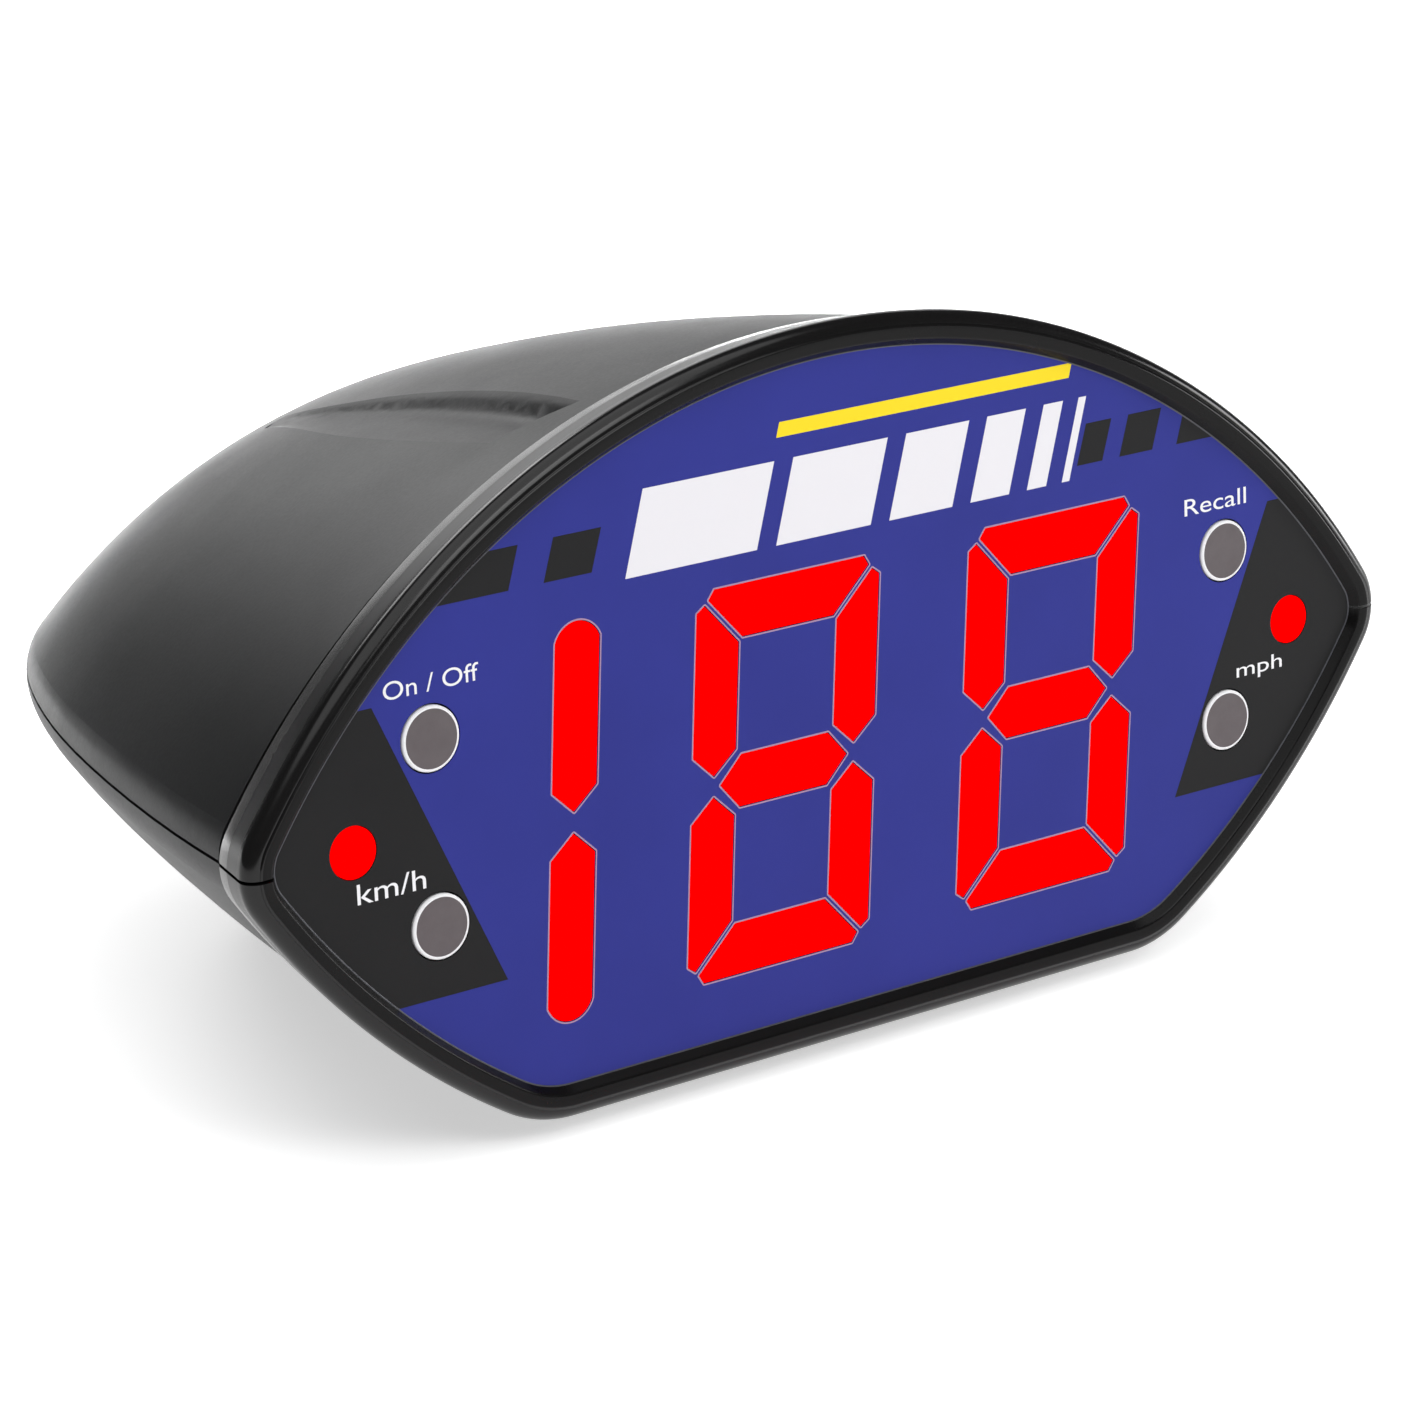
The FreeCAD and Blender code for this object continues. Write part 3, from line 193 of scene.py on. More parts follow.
# ---- moulded housing: satin shell with a fine grain, and the finishes of the rim's skin ----
def housing_finish():
    made = Finish("housing_plastic", specular=0.25)
    u, v, w = made.face_uvw()
    rim = made.math("GREATER_THAN", w, -9.0)
    cloud = made.noise(38.0, 3.0)
    fine = made.noise(0.55, 2.0, 0.6)
    body_colour = made.mix(made.spread(cloud, 0.35, 0.65, 0.0, 1.0),
                           (0.0068, 0.0070, 0.0074), (0.0090, 0.0091, 0.0096))
    rim_colour = made.mix(cloud, (0.0065, 0.0062, 0.0062), (0.0085, 0.0080, 0.0080))
    made.colour(made.mix(rim, body_colour, rim_colour))
    smear = made.noise(16.0, 4.0, 0.62)
    body_rough = made.math("ADD", made.spread(smear, 0.3, 0.7, 0.40, 0.44),
                           made.spread(fine, 0.3, 0.7, -0.02, 0.02))
    rim_rough = made.spread(smear, 0.3, 0.7, 0.20, 0.26)
    both = made.node("ShaderNodeMix", data_type="FLOAT")
    made.feed(both.inputs[0], rim)
    made.feed(both.inputs[2], body_rough)
    made.feed(both.inputs[3], rim_rough)
    made.rough(both.outputs[0])
    grain = made.math("MULTIPLY", fine, made.math("SUBTRACT", 1.0, rim))
    made.bump(grain, 0.012)
    return made.material


def gloss_finish():
    """Rim: satin on its outer side, polished over the rounded front edge, with faint handling smears."""
    made = Finish("rim_gloss", specular=0.3)
    u, v, w = made.face_uvw()
    cloud = made.noise(30.0, 3.0)
    made.colour(made.mix(cloud, (0.0055, 0.0053, 0.0053), (0.0072, 0.0070, 0.0070)))
    smear = made.noise(14.0, 4.0, 0.62)
    front = made.spread(w, -2.2, -0.4, 0.0, 1.0)
    both = made.node("ShaderNodeMix", data_type="FLOAT")
    made.feed(both.inputs[0], front)
    made.feed(both.inputs[2], made.spread(smear, 0.3, 0.7, 0.31, 0.36))
    made.feed(both.inputs[3], made.spread(smear, 0.3, 0.7, 0.15, 0.20))
    made.rough(both.outputs[0])
    return made.material


def shade_finish():
    """Inner half of the rim's front and its inner slope: the rim's black plastic painted darker and given a
    weaker reflection, as painted shade.
    """
    made = Finish("rim_painted_shade", specular=0.12)
    cloud = made.noise(22.0, 3.0)
    # painted shade: darker than the rim's gloss part, with its reflection cut to specular 0.12
    made.colour(made.mix(cloud, (0.0030, 0.0029, 0.0029), (0.0046, 0.0044, 0.0044)))
    made.rough(made.spread(made.noise(14.0, 4.0, 0.62), 0.3, 0.7, 0.22, 0.30))
    return made.material


def edge_finish():
    """Rounded rear edge of the rim: its colour is painted lighter as a painted highlight along the edge, and
    it is shinier.
    """
    made = Finish("rim_rear_edge", specular=0.5)
    painted_sheen = made.noise(9.0, 4.0, 0.6)
    # painted highlight: the edge's colour is several times lighter than the rim's, to give a thin bright line
    made.colour(made.mix(made.spread(painted_sheen, 0.3, 0.7, 0.0, 1.0), (0.030, 0.030, 0.030), (0.060, 0.059, 0.058)))
    made.rough(made.spread(painted_sheen, 0.3, 0.7, 0.26, 0.16))
    return made.material


def film_edge_finish():
    """Cut edge of the printed film: a raised strip that catches real light, with its colour painted a lighter
    grey as a painted highlight.
    """
    made = Finish("film_edge", specular=0.4)
    # painted highlight: lighter grey than the film and the rim beside it
    made.colour(made.mix(made.noise(1.2, 2.0), (0.035, 0.037, 0.045), (0.060, 0.062, 0.072)))
    made.rough(made.spread(made.noise(2.0), 0.3, 0.7, 0.30, 0.42))
    return made.material


# ---- printed film: deep blue ground, charcoal blocks, slanted stripes and a plain speed motif ----
STRIPE_LEAN = 0.32
STRIPES = (32.2, 38.4)
STRIPE_RUNS = [(-120.0, -58.9), (-52.9, -44.6), (45.6, 50.7), (54.1, 60.8), (65.7, 120.0)]
BARS = (30.2, 42.6)
BAR_LEAN = 0.30
BAR_RUNS = [(-38.0, -14.5), (-11.0, 6.5), (10.0, 22.0), (25.5, 33.0), (36.5, 40.3), (43.4, 44.9)]
RULE = (45.9, 48.1)
RULE_RUNS = [(-15.0, 40.5)]
BLOCK_V = (-23.5, 20.1)
BLOCK_TOP_U = 83.5
BLOCK_BOTTOM_U = 63.3
FILM_BLUE = (0.026, 0.032, 0.235)
FILM_DARK = (0.0130, 0.0130, 0.0135)
FILM_WHITE = (0.75, 0.74, 0.77)
FILM_YELLOW = (0.86, 0.66, 0.02)


def runs_mask(made, value, runs):
    return made.either(*[made.between(value, low, high) for low, high in runs])


def film_finish():
    made = Finish("printed_film", roughness=0.36, specular=0.10)
    u, v, w = made.face_uvw()
    side = made.math("ABSOLUTE", u)
    slope = (BLOCK_TOP_U - BLOCK_BOTTOM_U) / (BLOCK_V[1] - BLOCK_V[0])
    edge = made.math("MULTIPLY_ADD", v, slope, BLOCK_BOTTOM_U - BLOCK_V[0] * slope)
    block = made.both(made.between(v, *BLOCK_V), made.math("GREATER_THAN", side, edge))
    middle = (STRIPES[0] + STRIPES[1]) / 2
    shifted = made.math("MULTIPLY_ADD", made.math("SUBTRACT", v, middle), -STRIPE_LEAN, u)
    stripes = made.both(made.between(v, *STRIPES), runs_mask(made, shifted, STRIPE_RUNS))
    leaned = made.math("MULTIPLY_ADD", made.math("SUBTRACT", v, sum(BARS) / 2), -BAR_LEAN, u)
    bars = made.both(made.between(v, *BARS), runs_mask(made, leaned, BAR_RUNS))
    rule = made.both(made.between(v, *RULE), runs_mask(made, leaned, RULE_RUNS))
    cloud = made.spread(made.noise(24.0, 3.0), 0.3, 0.7, 0.0, 1.0)
    blue = made.mix(cloud, tuple(c * 0.95 for c in FILM_BLUE), tuple(c * 1.05 for c in FILM_BLUE))
    dark = made.mix(cloud, tuple(c * 0.93 for c in FILM_DARK), tuple(c * 1.07 for c in FILM_DARK))
    colour = made.mix(made.either(block, stripes), blue, dark)
    colour = made.mix(bars, colour, FILM_WHITE)
    colour = made.mix(rule, colour, FILM_YELLOW)
    made.colour(colour)
    velvet = made.noise(0.35, 1.0)
    smear = made.noise(19.0, 4.0, 0.6)
    made.rough(made.spread(smear, 0.3, 0.7, 0.33, 0.41))
    # screen-printed ink stands a few hundredths over the film
    ink = made.either(block, stripes, bars, rule)
    made.bump(made.math("MULTIPLY_ADD", ink, 0.6, made.math("MULTIPLY", velvet, 0.12)), 0.03)
    return made.material


def key_finish():
    """Grey key cap with a white ring printed round its edge."""
    made = Finish("key_cap", roughness=0.5, specular=0.35)
    u, v, w = made.face_uvw()
    du = made.math("SUBTRACT", made.math("ABSOLUTE", u), KEY_X)
    dv = made.math("SUBTRACT", made.math("ABSOLUTE", made.math("SUBTRACT", v, KEY_MIDDLE)), KEY_STEP)
    radius = made.math("SQRT", made.math("ADD", made.math("MULTIPLY", du, du), made.math("MULTIPLY", dv, dv)))
    ring = made.both(made.between(radius, 4.28, 4.9), made.math("GREATER_THAN", w, -0.6))
    cloud = made.spread(made.noise(3.0, 3.0), 0.3, 0.7, 0.0, 1.0)
    grey = made.mix(cloud, (0.094, 0.079, 0.083), (0.106, 0.090, 0.095))
    made.colour(made.mix(ring, grey, (0.80, 0.80, 0.81)))
    made.rough(made.spread(made.noise(0.7, 2.0), 0.3, 0.7, 0.46, 0.56))
    # the cap is very slightly dished
    dish = made.math("MULTIPLY", made.math("MULTIPLY", radius, radius), 0.04)
    made.bump(made.math("ADD", dish, made.math("MULTIPLY", made.noise(0.4, 1.0), 0.08)), 0.10)
    return made.material


def lit_red(name):
    """Red diffuser with light behind it: even glow with faint hot spots over the diodes."""
    made = Finish(name, (0.9, 0.0, 0.0), 0.5, specular=0.0)
    spots = made.cells(4.2)
    glow = made.spread(spots, 0.0, 0.7, 0.62, 0.50)
    made.feed(made.shader.inputs["Emission Strength"], glow)
    made.shader.inputs["Emission Color"].default_value = (1.0, 0.0, 0.0, 1)
    made.bump(made.noise(0.6, 1.0), 0.006)
    return made.material


def ink(name, colour):
    made = Finish(name, colour, 0.45, specular=0.3)
    cloud = made.spread(made.noise(1.6, 2.0), 0.3, 0.7, 0.0, 1.0)
    made.colour(made.mix(cloud, tuple(c * 0.94 for c in colour), colour))
    made.rough(made.spread(made.noise(0.5, 1.0), 0.3, 0.7, 0.40, 0.50))
    return made.material


def circuit_board(name, mask, copper, hole_size=3.1):
    """Solder mask with tracks that show through it."""
    made = Finish(name, mask, 0.35, specular=0.5)
    brick = made.node("ShaderNodeTexBrick")
    brick.inputs["Scale"].default_value = 1.0
    brick.inputs["Mortar Size"].default_value = 0.16
    brick.inputs["Brick Width"].default_value = hole_size * 2.4
    brick.inputs["Row Height"].default_value = hole_size
    shift = made.node("ShaderNodeVectorMath", operation="ADD")
    made.feed(shift.inputs[0], made.place())
    shift.inputs[1].default_value = (200, 200, 200)
    made.feed(brick.inputs["Vector"], shift.outputs[0])
    tracks = brick.outputs["Fac"]
    dots = made.math("LESS_THAN", made.cells(hole_size), 0.14)
    colour = made.mix(made.math("MULTIPLY", tracks, 0.55), mask, tuple(c * 1.7 for c in mask))
    made.colour(made.mix(dots, colour, copper))
    made.rough(made.spread(made.noise(6.0, 3.0), 0.3, 0.7, 0.28, 0.42))
    made.bump(tracks, 0.03)
    return made.material


def metal(name, colour, roughness, size_mm=0.5, stretch=None):
    made = Finish(name, colour, roughness, metallic=1.0)
    grain = made.noise(size_mm, 3.0, 0.6, stretch)
    made.colour(made.mix(grain, tuple(c * 0.86 for c in colour), colour))
    made.rough(made.spread(grain, 0.3, 0.7, roughness - 0.08, roughness + 0.08))
    made.bump(grain, 0.01)
    return made.material


def cell_finish():
    """Plain dark sleeve with a copper-coloured metallic band at one end."""
    made = Finish("cell_sleeve", roughness=0.3)
    u = made.along((1, 0, 0))
    cells = made.math("PINGPONG", made.math("ADD", u, 2.0), 50.0)
    band = made.math("GREATER_THAN", cells, 36.0)
    cloud = made.spread(made.noise(9.0, 3.0), 0.3, 0.7, 0.0, 1.0)
    sleeve = made.mix(cloud, (0.035, 0.036, 0.040), (0.050, 0.051, 0.056))
    made.colour(made.mix(band, sleeve, (0.48, 0.24, 0.09)))
    made.feed(made.shader.inputs["Metallic"], made.math("MULTIPLY", band, 0.75))
    made.rough(made.spread(made.noise(2.0, 2.0), 0.3, 0.7, 0.24, 0.36))
    return made.material


def wires(name, run_colours, axis_width, centre=0.0):
    """Insulation whose colour steps from strand to strand across the bundle."""
    made = Finish(name, run_colours[0], 0.42)
    u = made.along((1, 0, 0), (centre, 0, 0))
    colour = run_colours[0]
    for i, other in enumerate(run_colours[1:]):
        colour = made.mix(made.math("GREATER_THAN", u, axis_width[i]), colour, other)
    made.colour(colour)
    made.rough(made.spread(made.noise(1.5, 2.0), 0.3, 0.7, 0.36, 0.50))
    return made.material


housing = housing_finish()
rim_gloss = gloss_finish()
rim_painted_shade = shade_finish()
rim_rear_edge = edge_finish()
film = film_finish()
key_cap = key_finish()
red = lit_red("red_diffuser")
white_ink = ink("white_ink", (0.82, 0.82, 0.84))
outline_ink = ink("outline_ink", (0.36, 0.23, 0.36))
panel_plastic = mottled("panel_plastic", (0.02, 0.02, 0.021), 0.1, 12.0, 0.5, bump_mm=0.01).material
foam = Finish("foam_tape", (0.02, 0.02, 0.021), 0.95)
foam.bump(foam.cells(0.6), 0.08)
# painted shade: the foam is darker in the pits of its cells and lighter on the walls between them, following
# the bump
foam.colour(foam.mix(foam.cells(0.6), (0.012, 0.012, 0.013), (0.03, 0.03, 0.031)))
reflector = mottled("reflector_plastic", (0.62, 0.62, 0.63), 0.05, 8.0, 0.45, bump_mm=0.008).material
switch_plastic = mottled("switch_plastic", (0.025, 0.025, 0.026), 0.12, 2.0, 0.4).material
green_board = circuit_board("circuit_board", (0.012, 0.10, 0.045), (0.62, 0.52, 0.32))
radar_laminate = circuit_board("radar_laminate", (0.62, 0.60, 0.52), (0.70, 0.45, 0.28), 4.0)
copper = metal("copper", (0.80, 0.45, 0.28), 0.3, 0.8)
chip_body = mottled("chip_body", (0.018, 0.018, 0.019), 0.1, 1.2, 0.55, bump_mm=0.006).material
steel = metal("plated_steel", (0.62, 0.62, 0.60), 0.3, 0.4, (1, 1, 6))
screw_steel = metal("screw_steel", (0.42, 0.42, 0.43), 0.38, 0.35)
brass = metal("brass", (0.72, 0.52, 0.22), 0.28, 0.5, (1, 1, 8))
rubber = mottled("foot_rubber", (0.016, 0.016, 0.017), 0.15, 3.0, 0.82, bump_mm=0.02, specular=0.3).material
tray_plastic = mottled("tray_plastic", (0.022, 0.022, 0.023), 0.1, 10.0, 0.5, bump_mm=0.01).material
jack_plastic = mottled("jack_plastic", (0.012, 0.012, 0.012), 0.1, 2.0, 0.35, bump_mm=0.004).material
sleeve = Finish("capacitor_sleeve", (0.02, 0.022, 0.10), 0.35)
stripe = sleeve.math("GREATER_THAN", sleeve.along((1, 0, 0), (26.0, 0, 0)), 3.1)
cap_top = sleeve.math("GREATER_THAN", sleeve.along((0, 0, 1)), 56.0)
sleeve_side = sleeve.mix(stripe, (0.02, 0.022, 0.10), (0.55, 0.56, 0.60))
sleeve.colour(sleeve.mix(cap_top, sleeve_side, (0.6, 0.6, 0.6)))
sleeve.rough(sleeve.spread(sleeve.noise(1.5, 2.0), 0.3, 0.7, 0.28, 0.42))
ferrite = mottled("ferrite", (0.06, 0.06, 0.062), 0.2, 1.5, 0.7, bump_mm=0.02).material
connector = mottled("connector_nylon", (0.68, 0.65, 0.56), 0.05, 3.0, 0.45).material
ribbon = Finish("ribbon_cable", (0.42, 0.42, 0.43), 0.45)
strands = ribbon.math("SINE", ribbon.math("MULTIPLY", ribbon.along((1, 0, 0)), 2 * math.pi / 1.27))
ribbon.bump(strands, 0.12)
first_strand = ribbon.math("LESS_THAN", ribbon.along((1, 0, 0)), -5.3)
# painted highlight and painted shade: each strand's grey is lighter over its crest and darker in the grooves
# between strands, following the bump
strand_painted_shading = ribbon.mix(ribbon.spread(strands, -1, 1, 0, 1), (0.30, 0.30, 0.31), (0.50, 0.50, 0.51))
ribbon.colour(ribbon.mix(first_strand, strand_painted_shading, (0.5, 0.02, 0.02)))
RED_WIRE, BLACK_WIRE, YELLOW_WIRE = (0.42, 0.015, 0.012), (0.02, 0.02, 0.02), (0.62, 0.45, 0.03)
pair_wire = wires("pair_insulation", [BLACK_WIRE, RED_WIRE], [0.0])
triple_wire = wires("triple_insulation", [BLACK_WIRE, YELLOW_WIRE, RED_WIRE], [-0.95, 0.95], 24.0)

FINISHES = {
    "top_housing": housing, "bottom_housing": housing, "battery_door": housing,
    "graphic_overlay": film, "front_panel": panel_plastic, "panel_gasket": foam.material,
    "digit_frame": reflector, "digit_segments": red, "indicator": red,
    "key": key_cap, "plunger": switch_plastic, "switch_bodies": switch_plastic,
    "display_board": green_board, "main_board_screws": screw_steel, "main_board": green_board,
    "led_drivers": chip_body, "microcontroller": chip_body, "voltage_regulator": chip_body,
    "board_screws": screw_steel, "radar_screws": screw_steel, "tray_screws": screw_steel,
    "housing_screws": screw_steel, "radar_board": radar_laminate, "radar_antenna_patches": copper,
    "radar_shield": steel, "battery_tray": tray_plastic, "cell": cell_finish(),
    "contact": steel, "capacitors": sleeve.material, "power_inductor": ferrite,
    "lead_connectors": connector, "ribbon_connectors": connector, "ribbon_cable": ribbon.material,
    "tripod_insert": brass, "foot": rubber, "power_jack_pin": steel, "power_jack_nut": steel,
    "power_jack": jack_plastic, "battery_leads": pair_wire, "power_leads": pair_wire,
    "radar_leads": triple_wire,
}


def finish_for(name):
    best = max((key for key in FINISHES if name.startswith(key)), key=len)
    return FINISHES[best]


for name, node in nodes.items():
    wanted = finish_for(name)
    if node.material_slots:
        for material_slot in node.material_slots:
            material_slot.material = wanted
    else:
        node.data.materials.append(wanted)


# ---- printed pieces on the film ----
def add_piece(name, mesh):
    """Puts a mesh on the housing as a piece of its own."""
    made = bpy.data.objects.new(name, mesh)
    bpy.context.scene.collection.objects.link(made)
    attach(made, "root")


def face_mesh(name, points, faces, material):
    """Thin printed piece from points given on the face."""
    mesh = bpy.data.meshes.new(name)
    mesh.from_pydata([on_face(*p) for p in points], [], faces)
    mesh.update()
    mesh.materials.append(material)
    add_piece(name, mesh)


def film_windows():
    """Loops of the openings in the film, as (u, v) points."""
    mesh = nodes["graphic_overlay"].data
    spots = {}
    welded = []
    flat = []
    for vertex in mesh.vertices:
        x, y, z = (c / MM for c in vertex.co)
        v = (y - FACE_Y) * SIN + (z - PARTING_Z) * COS
        w = -(y - FACE_Y) * COS + (z - PARTING_Z) * SIN
        tag = (round(x, 2), round(v, 2), round(w, 2))
        welded.append(spots.setdefault(tag, len(spots)))
        flat.append((x, v, w))
    where = {}
    for i, spot in enumerate(welded):
        where[spot] = flat[i]
    border = {}
    for polygon in mesh.polygons:
        corners = [welded[i] for i in polygon.vertices]
        if all(where[c][2] > -0.05 for c in corners):
            for a, b in zip(corners, corners[1:] + corners[:1]):
                if a != b:
                    border[(a, b)] = border.get((a, b), 0) + 1
    onward = {a: b for (a, b) in border if (b, a) not in border}
    loops = []
    while onward:
        start = next(iter(onward))
        loop = [start]
        step = onward.pop(start)
        while step != start and step in onward:
            loop.append(step)
            step = onward.pop(step)
        loops.append([where[s][:2] for s in loop])
    return loops


def signed_area(loop):
    return sum(a[0] * b[1] - b[0] * a[1] for a, b in zip(loop, loop[1:] + loop[:1])) / 2


def cleaned(loop):
    """Leaves out the points that lie on a straight run."""
    kept = []
    for i, point in enumerate(loop):
        before, after = loop[i - 1], loop[(i + 1) % len(loop)]
        one = Vector((point[0] - before[0], point[1] - before[1]))
        two = Vector((after[0] - point[0], after[1] - point[1]))
        if one.length > 1e-4 and abs(one.normalized().cross(two.normalized())) > 0.002:
            kept.append(point)
    return kept


def moved_out(loop, distance):
    """The loop moved outwards by a distance, with mitred corners."""
    turn = 1 if signed_area(loop) > 0 else -1
    result = []
    for i, point in enumerate(loop):
        before, after = loop[i - 1], loop[(i + 1) % len(loop)]
        one = Vector((point[0] - before[0], point[1] - before[1])).normalized()
        two = Vector((after[0] - point[0], after[1] - point[1])).normalized()
        n1 = Vector((one.y, -one.x)) * turn
        n2 = Vector((two.y, -two.x)) * turn
        bisector = (n1 + n2).normalized()
        reach = distance / max(bisector.dot(n1), 0.35)
        result.append((point[0] + bisector.x * reach, point[1] + bisector.y * reach))
    return result


OUTLINE_WIDTH = 0.24
INK_HEIGHT = 0.02
FILM_AREA = 3000.0     # square millimetres: more than any window, less than the film
ROUND_AREA = 90.0      # and more than a key's or a lamp's hole
ROUND_WIDTH = 11.0
KEYS_FROM_U = 66.0     # keys and lamps lie farther out than this


def outline_strips():
    """Thin printed line round every segment window."""
    points = []
    faces = []
    for loop in film_windows():
        size = abs(signed_area(loop))
        width = max(p[0] for p in loop) - min(p[0] for p in loop)
        round_hole = (width < ROUND_WIDTH and len(loop) > 16 and size < ROUND_AREA
                      and abs(loop[0][0]) > KEYS_FROM_U)
        if size > FILM_AREA or round_hole:
            continue
        inner = cleaned(loop)
        outer = moved_out(inner, OUTLINE_WIDTH)
        first = len(points)
        count = len(inner)
        points += [(u, v, INK_HEIGHT) for u, v in inner + outer]
        turn = signed_area(inner) > 0
        for i in range(count):
            j = (i + 1) % count
            quad = (first + i, first + j, first + count + j, first + count + i)
            faces.append(tuple(reversed(quad)) if turn else quad)
    face_mesh("segment_outlines", points, faces, outline_ink)


outline_strips()


# ---- skin of the rim, a tenth of a millimetre over the CAD rim, with a smooth, slightly crowned front ----
RIM_HALF = 108.1
RIM_TOP = 61.7
RIM_BOTTOM = 46.8
RIM_CORNER = 59.0
RIM_NOSE_R = 10.8
RIM_CORNER_R = 21.3
SIDE_R = 133.3
SEAM = 0.25          # half width of the joint line between the halves
SKIN = 0.09          # thickness of the skin
SHADE_FROM = 2.65    # inset from which the rim's front gets the painted shade, nearly black
REAR_EDGE = -8.0     # height over the film below which the rim's rear edge gets the painted highlight
# inset and height over the film of the points across the crowned front, and across the film's border line
FRONT_CROWN = [(2.25, 1.37), (2.65, 1.40), (3.05, 1.40), (3.45, 1.36)]
FILM_EDGE = [(5.20, 0.03), (5.30, 0.10), (5.42, 0.10), (5.52, 0.02)]


def meeting(c1, r1, c2, r2):
    gap = c2 - c1
    along = (r1 * r1 - r2 * r2 + gap.length_squared) / (2 * gap.length)
    off = math.sqrt(r1 * r1 - along * along)
    unit = gap.normalized()
    side = Vector((-unit.y, unit.x))
    options = [c1 + unit * along + side * off, c1 + unit * along - side * off]
    return max(options, key=lambda p: p.x)


def angle_of(centre, point):
    return math.atan2(point.y - centre.y, point.x - centre.x)


def rim_line(step=0.8):
    """Points and outward normals along the rim's outer edge, from the top middle clockwise."""
    top_r = (RIM_HALF ** 2 + RIM_TOP ** 2) / (2 * RIM_TOP)
    top_c = Vector((0, RIM_TOP - top_r))
    a = Vector((RIM_HALF, 0))
    b = Vector((RIM_CORNER, -RIM_BOTTOM))
    chord = b - a
    inward = Vector((chord.y, -chord.x)).normalized()
    reach = math.sqrt(SIDE_R ** 2 - chord.length_squared / 4)
    side_c = (a + b) / 2 + inward * reach
    nose_c = meeting(top_c, top_r - RIM_NOSE_R, side_c, SIDE_R - RIM_NOSE_R)
    rise = -RIM_BOTTOM + RIM_CORNER_R - side_c.y
    run = math.sqrt((SIDE_R - RIM_CORNER_R) ** 2 - rise * rise)
    corner_c = side_c + Vector((run, rise))
    top_end = angle_of(top_c, nose_c)
    side_start = angle_of(side_c, nose_c)
    side_end = angle_of(side_c, corner_c)
    arcs = [(top_c, top_r, math.pi / 2, top_end), (nose_c, RIM_NOSE_R, top_end, side_start),
            (side_c, SIDE_R, side_start, side_end), (corner_c, RIM_CORNER_R, side_end, -math.pi / 2)]
    half = []
    for centre, radius, begin, end in arcs:
        count = max(6, int(abs(end - begin) * radius / step))
        for i in range(count):
            turn = begin + (end - begin) * i / count
            normal = Vector((math.cos(turn), math.sin(turn)))
            half.append((centre + normal * radius, normal))
    foot = Vector((corner_c.x, -RIM_BOTTOM))
    count = int(2 * foot.x / 2.0)
    flat = [(Vector((foot.x - 2 * foot.x * i / count, foot.y)), Vector((0, -1))) for i in range(count)]
    mirror = [(Vector((-p.x, p.y)), Vector((-n.x, n.y))) for p, n in reversed(half[1:])]
    return half + flat + [(Vector((-foot.x, foot.y)), Vector((0, -1)))] + mirror


def rim_profile():
    """Cross-section of the rim, from its back over the front to the inside.

    Each point is the inset from the rim's outer edge and the height over the film.
    """
    back = Vector((1.96, -8.34))
    crest = Vector((0.0, 1.3))
    mouth = Vector((4.26, 1.3))
    foot = Vector((5.24, 0.02))
    groove = Vector((2.75, -8.34))
    points = [groove] + rounded(groove, back, crest, 0.30, 5) + [back.lerp(crest, 0.3), back.lerp(crest, 0.6)]
    points += rounded(back, crest, mouth, 2.0, 12)
    points += [Vector(point) for point in FRONT_CROWN]
    points += rounded(crest, mouth, foot, 0.55, 6)
    points.append(foot)
    return points


def rounded(before, corner, after, radius, steps):
    """Arc that rounds a corner of the profile."""
    one = (before - corner).normalized()
    two = (after - corner).normalized()
    half = one.angle(two) / 2
    reach = radius / math.tan(half)
    centre = corner + (one + two).normalized() * (radius / math.sin(half))
    start = corner + one * reach - centre
    turn = start.angle_signed(corner + two * reach - centre)
    result = []
    for i in range(steps + 1):
        turned = start.copy()
        turned.rotate(Matrix.Rotation(-turn * i / steps, 2))
        result.append(centre + turned)
    return result


def rim_skin(name, upper):
    profile = rim_profile()
    normals = []
    for i, point in enumerate(profile):
        ahead = profile[min(i + 1, len(profile) - 1)] - profile[max(i - 1, 0)]
        normals.append(Vector((-ahead.y, ahead.x)).normalized())
    mesh = bpy.data.meshes.new(name)
    work = bmesh.new()
    rows = []
    for edge, outward in rim_line():
        row = []
        for point, lift in zip(profile, normals):
            moved = point + lift * SKIN
            place = edge - outward * moved.x
            row.append(work.verts.new(on_face(place.x, place.y, moved.y)))
        rows.append(row)
    for i, row in enumerate(rows):
        following = rows[(i + 1) % len(rows)]
        for j in range(len(profile) - 1):
            strip = work.faces.new((row[j], row[j + 1], following[j + 1], following[j]))
            # the inner half of the rim's front takes the painted-shade material
            if profile[j].y > 0 and profile[j].x > SHADE_FROM - 0.01:
                strip.material_index = 1
            # the rim's rear edge takes the painted-highlight material
            elif profile[j].y < REAR_EDGE and profile[j + 1].x < 2.3:
                strip.material_index = 2
    seam_z = (PARTING_Z + (SEAM if upper else -SEAM)) * MM
    bmesh.ops.bisect_plane(work, geom=work.verts[:] + work.edges[:] + work.faces[:], plane_co=(0, 0, seam_z),
                           plane_no=(0, 0, 1), clear_inner=upper, clear_outer=not upper)
    bmesh.ops.recalc_face_normals(work, faces=work.faces[:])
    sample = max(work.faces, key=lambda f: f.normal.dot(Vector((0, -COS, SIN))) ** 2 * f.calc_area())
    if sample.normal.dot(Vector((0, -COS, SIN))) < 0:
        bmesh.ops.reverse_faces(work, faces=work.faces[:])
    for face in work.faces:
        face.smooth = True
    work.to_mesh(mesh)
    work.free()
    mesh.materials.append(rim_gloss)
    mesh.materials.append(rim_painted_shade)
    mesh.materials.append(rim_rear_edge)
    add_piece(name, mesh)


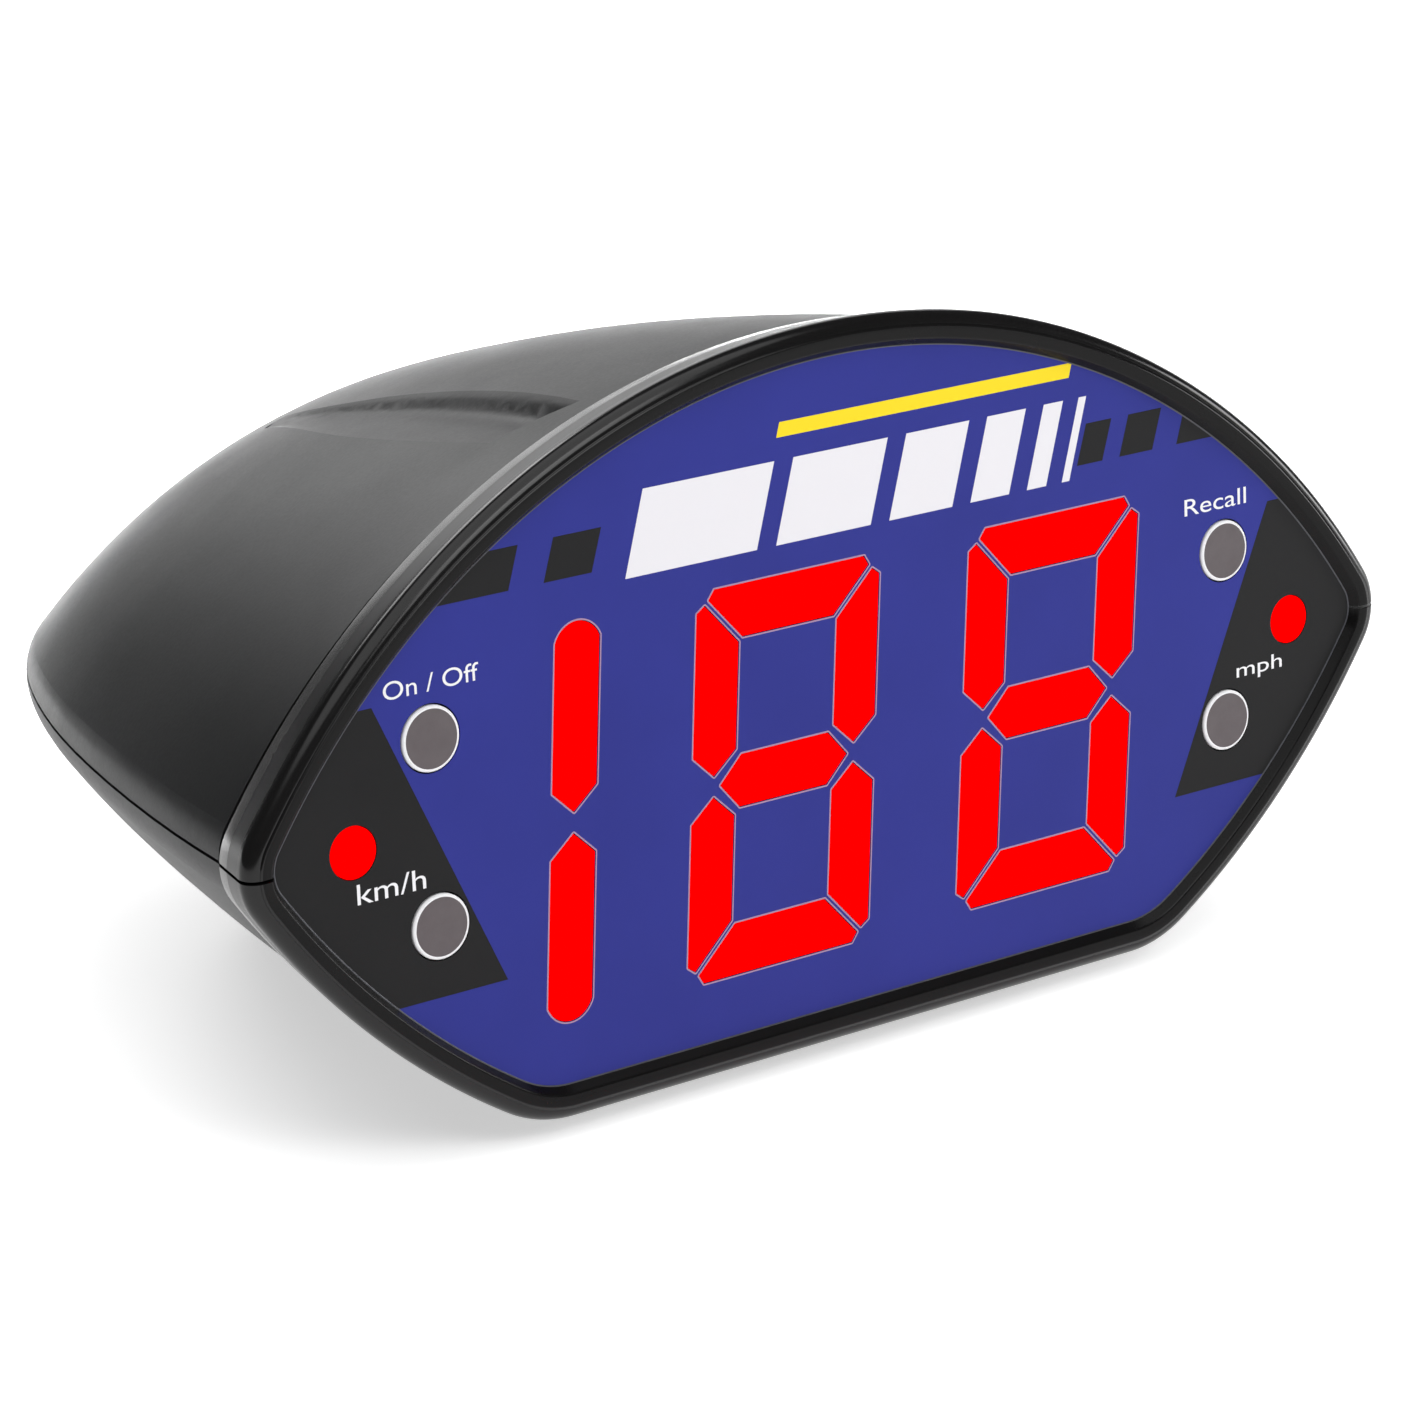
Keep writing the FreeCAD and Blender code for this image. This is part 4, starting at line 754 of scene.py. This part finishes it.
def film_edge():
    """Thin raised strip along the border of the printed film, whose lighter colour is a painted highlight."""
    mesh = bpy.data.meshes.new("film_edge")
    work = bmesh.new()
    rows = []
    for edge, outward in rim_line():
        row = []
        for inset, height in FILM_EDGE:
            place = edge - outward * inset
            row.append(work.verts.new(on_face(place.x, place.y, height)))
        rows.append(row)
    for i, row in enumerate(rows):
        following = rows[(i + 1) % len(rows)]
        for j in range(len(FILM_EDGE) - 1):
            strip = work.faces.new((row[j], row[j + 1], following[j + 1], following[j]))
            strip.smooth = True
    bmesh.ops.recalc_face_normals(work, faces=work.faces[:])
    if work.faces[:][0].normal.dot(Vector((0, -COS, SIN))) < 0:
        bmesh.ops.reverse_faces(work, faces=work.faces[:])
    work.to_mesh(mesh)
    work.free()
    mesh.materials.append(film_edge_finish())
    add_piece("film_edge", mesh)


def label(name, words, u0, u1, v0, v1):
    """Plain functional label, fitted to a box on the face."""
    curve = bpy.data.curves.new(name, "FONT")
    curve.body = words
    curve.resolution_u = 6
    holder = bpy.data.objects.new(name + "_text", curve)
    bpy.context.scene.collection.objects.link(holder)
    bpy.context.view_layer.update()
    mesh = bpy.data.meshes.new_from_object(holder)
    bpy.data.objects.remove(holder)
    low = [min(v.co[i] for v in mesh.vertices) for i in (0, 1)]
    high = [max(v.co[i] for v in mesh.vertices) for i in (0, 1)]
    for vertex in mesh.vertices:
        along = (vertex.co.x - low[0]) / (high[0] - low[0])
        up = (vertex.co.y - low[1]) / (high[1] - low[1])
        vertex.co = on_face(u0 + along * (u1 - u0), v0 + up * (v1 - v0), 0.03)
    mesh.name = name
    mesh.materials.clear()
    mesh.materials.append(white_ink)
    add_piece(name, mesh)


rim_skin("rim_skin_upper", True)
rim_skin("rim_skin_lower", False)
film_edge()
label("label_on_off", "On / Off", -81.5, -65.6, 20.6, 23.2)
label("label_recall", "Recall", 66.2, 79.0, 20.6, 23.2)
label("label_kmh", "km/h", -87.6, -76.2, -7.2, -4.2)
label("label_mph", "mph", 76.6, 86.2, -7.7, -4.6)


# ---- floor, light and camera ----
def plain_floor():
    mesh = bpy.data.meshes.new("floor")
    reach = 6.0
    mesh.from_pydata([(-reach, -reach, 0), (reach, -reach, 0), (reach, reach, 0), (-reach, reach, 0)], [],
                     [(0, 1, 2, 3)])
    made = bpy.data.objects.new("floor", mesh)
    bpy.context.scene.collection.objects.link(made)
    finish = Finish("floor_paper", (0.90, 0.90, 0.90), 0.85, specular=0.1)
    finish.colour(finish.mix(finish.noise(30.0, 3.0), (0.885, 0.885, 0.885), (0.91, 0.91, 0.91)))
    finish.shader.inputs["Emission Color"].default_value = (1, 1, 1, 1)
    finish.shader.inputs["Emission Strength"].default_value = 0.55
    mesh.materials.append(finish.material)


def soft_box(name, place, target, width, height, power):
    lamp = bpy.data.lights.new(name, "AREA")
    lamp.shape = "RECTANGLE"
    lamp.size = width
    lamp.size_y = height
    lamp.energy = power
    made = bpy.data.objects.new(name, lamp)
    made.location = place
    made.rotation_mode = "QUATERNION"
    made.rotation_quaternion = (Vector(target) - Vector(place)).to_track_quat("-Z", "Y")
    bpy.context.scene.collection.objects.link(made)


plain_floor()
soft_box("back_box", (0.85, 1.55, 0.60), (0, 0.02, 0.06), 1.5, 1.0, 6.0)
soft_box("back_high_box", (-0.05, 1.60, 1.25), (0, 0.02, 0.06), 1.0, 0.6, 11.0)
soft_box("front_box", (0.25, -1.60, 1.30), (0, 0, 0.05), 1.0, 0.8, 11.5)
soft_box("right_box", (1.20, -0.42, 0.22), (0.1, 0, 0.05), 0.30, 0.40, 3.0)
soft_box("right_rear_box", (1.30, 0.75, 0.22), (0.1, 0, 0.08), 0.45, 0.35, 2.5)

wash = bpy.data.lights.new("floor_wash", "SPOT")
wash.energy = 800
wash.spot_size = math.radians(34)
wash.spot_blend = 0.5
wash.shadow_soft_size = 0.15
floor_wash = bpy.data.objects.new("floor_wash", wash)
floor_wash.location = (0.25, 0.85, 2.2)
bpy.context.scene.collection.objects.link(floor_wash)

sky = bpy.data.lights.new("overhead", "SUN")
sky.energy = 1.95
sky.angle = math.radians(75)
overhead = bpy.data.objects.new("overhead", sky)
overhead.rotation_euler = (math.radians(12), math.radians(-6), 0)
bpy.context.scene.collection.objects.link(overhead)

world = bpy.data.worlds.new("studio")
world.use_nodes = True
world.node_tree.nodes["Background"].inputs[0].default_value = (0.95, 0.96, 1.0, 1)
world.node_tree.nodes["Background"].inputs[1].default_value = 0.07
bpy.context.scene.world = world

camera_data = bpy.data.cameras.new("camera")
camera_data.lens = 131.13
camera_data.sensor_width = 36.0
camera = bpy.data.objects.new("camera", camera_data)
camera.location = Vector((-453.7, FACE_Y - 554.7, PARTING_Z + 240.9)) * MM
camera.rotation_mode = "QUATERNION"
camera.rotation_quaternion = Vector((0.579, 0.752, -0.3146)).to_track_quat("-Z", "Y")
bpy.context.scene.collection.objects.link(camera)
bpy.context.scene.camera = camera
bpy.context.scene.view_settings.view_transform = "Standard"
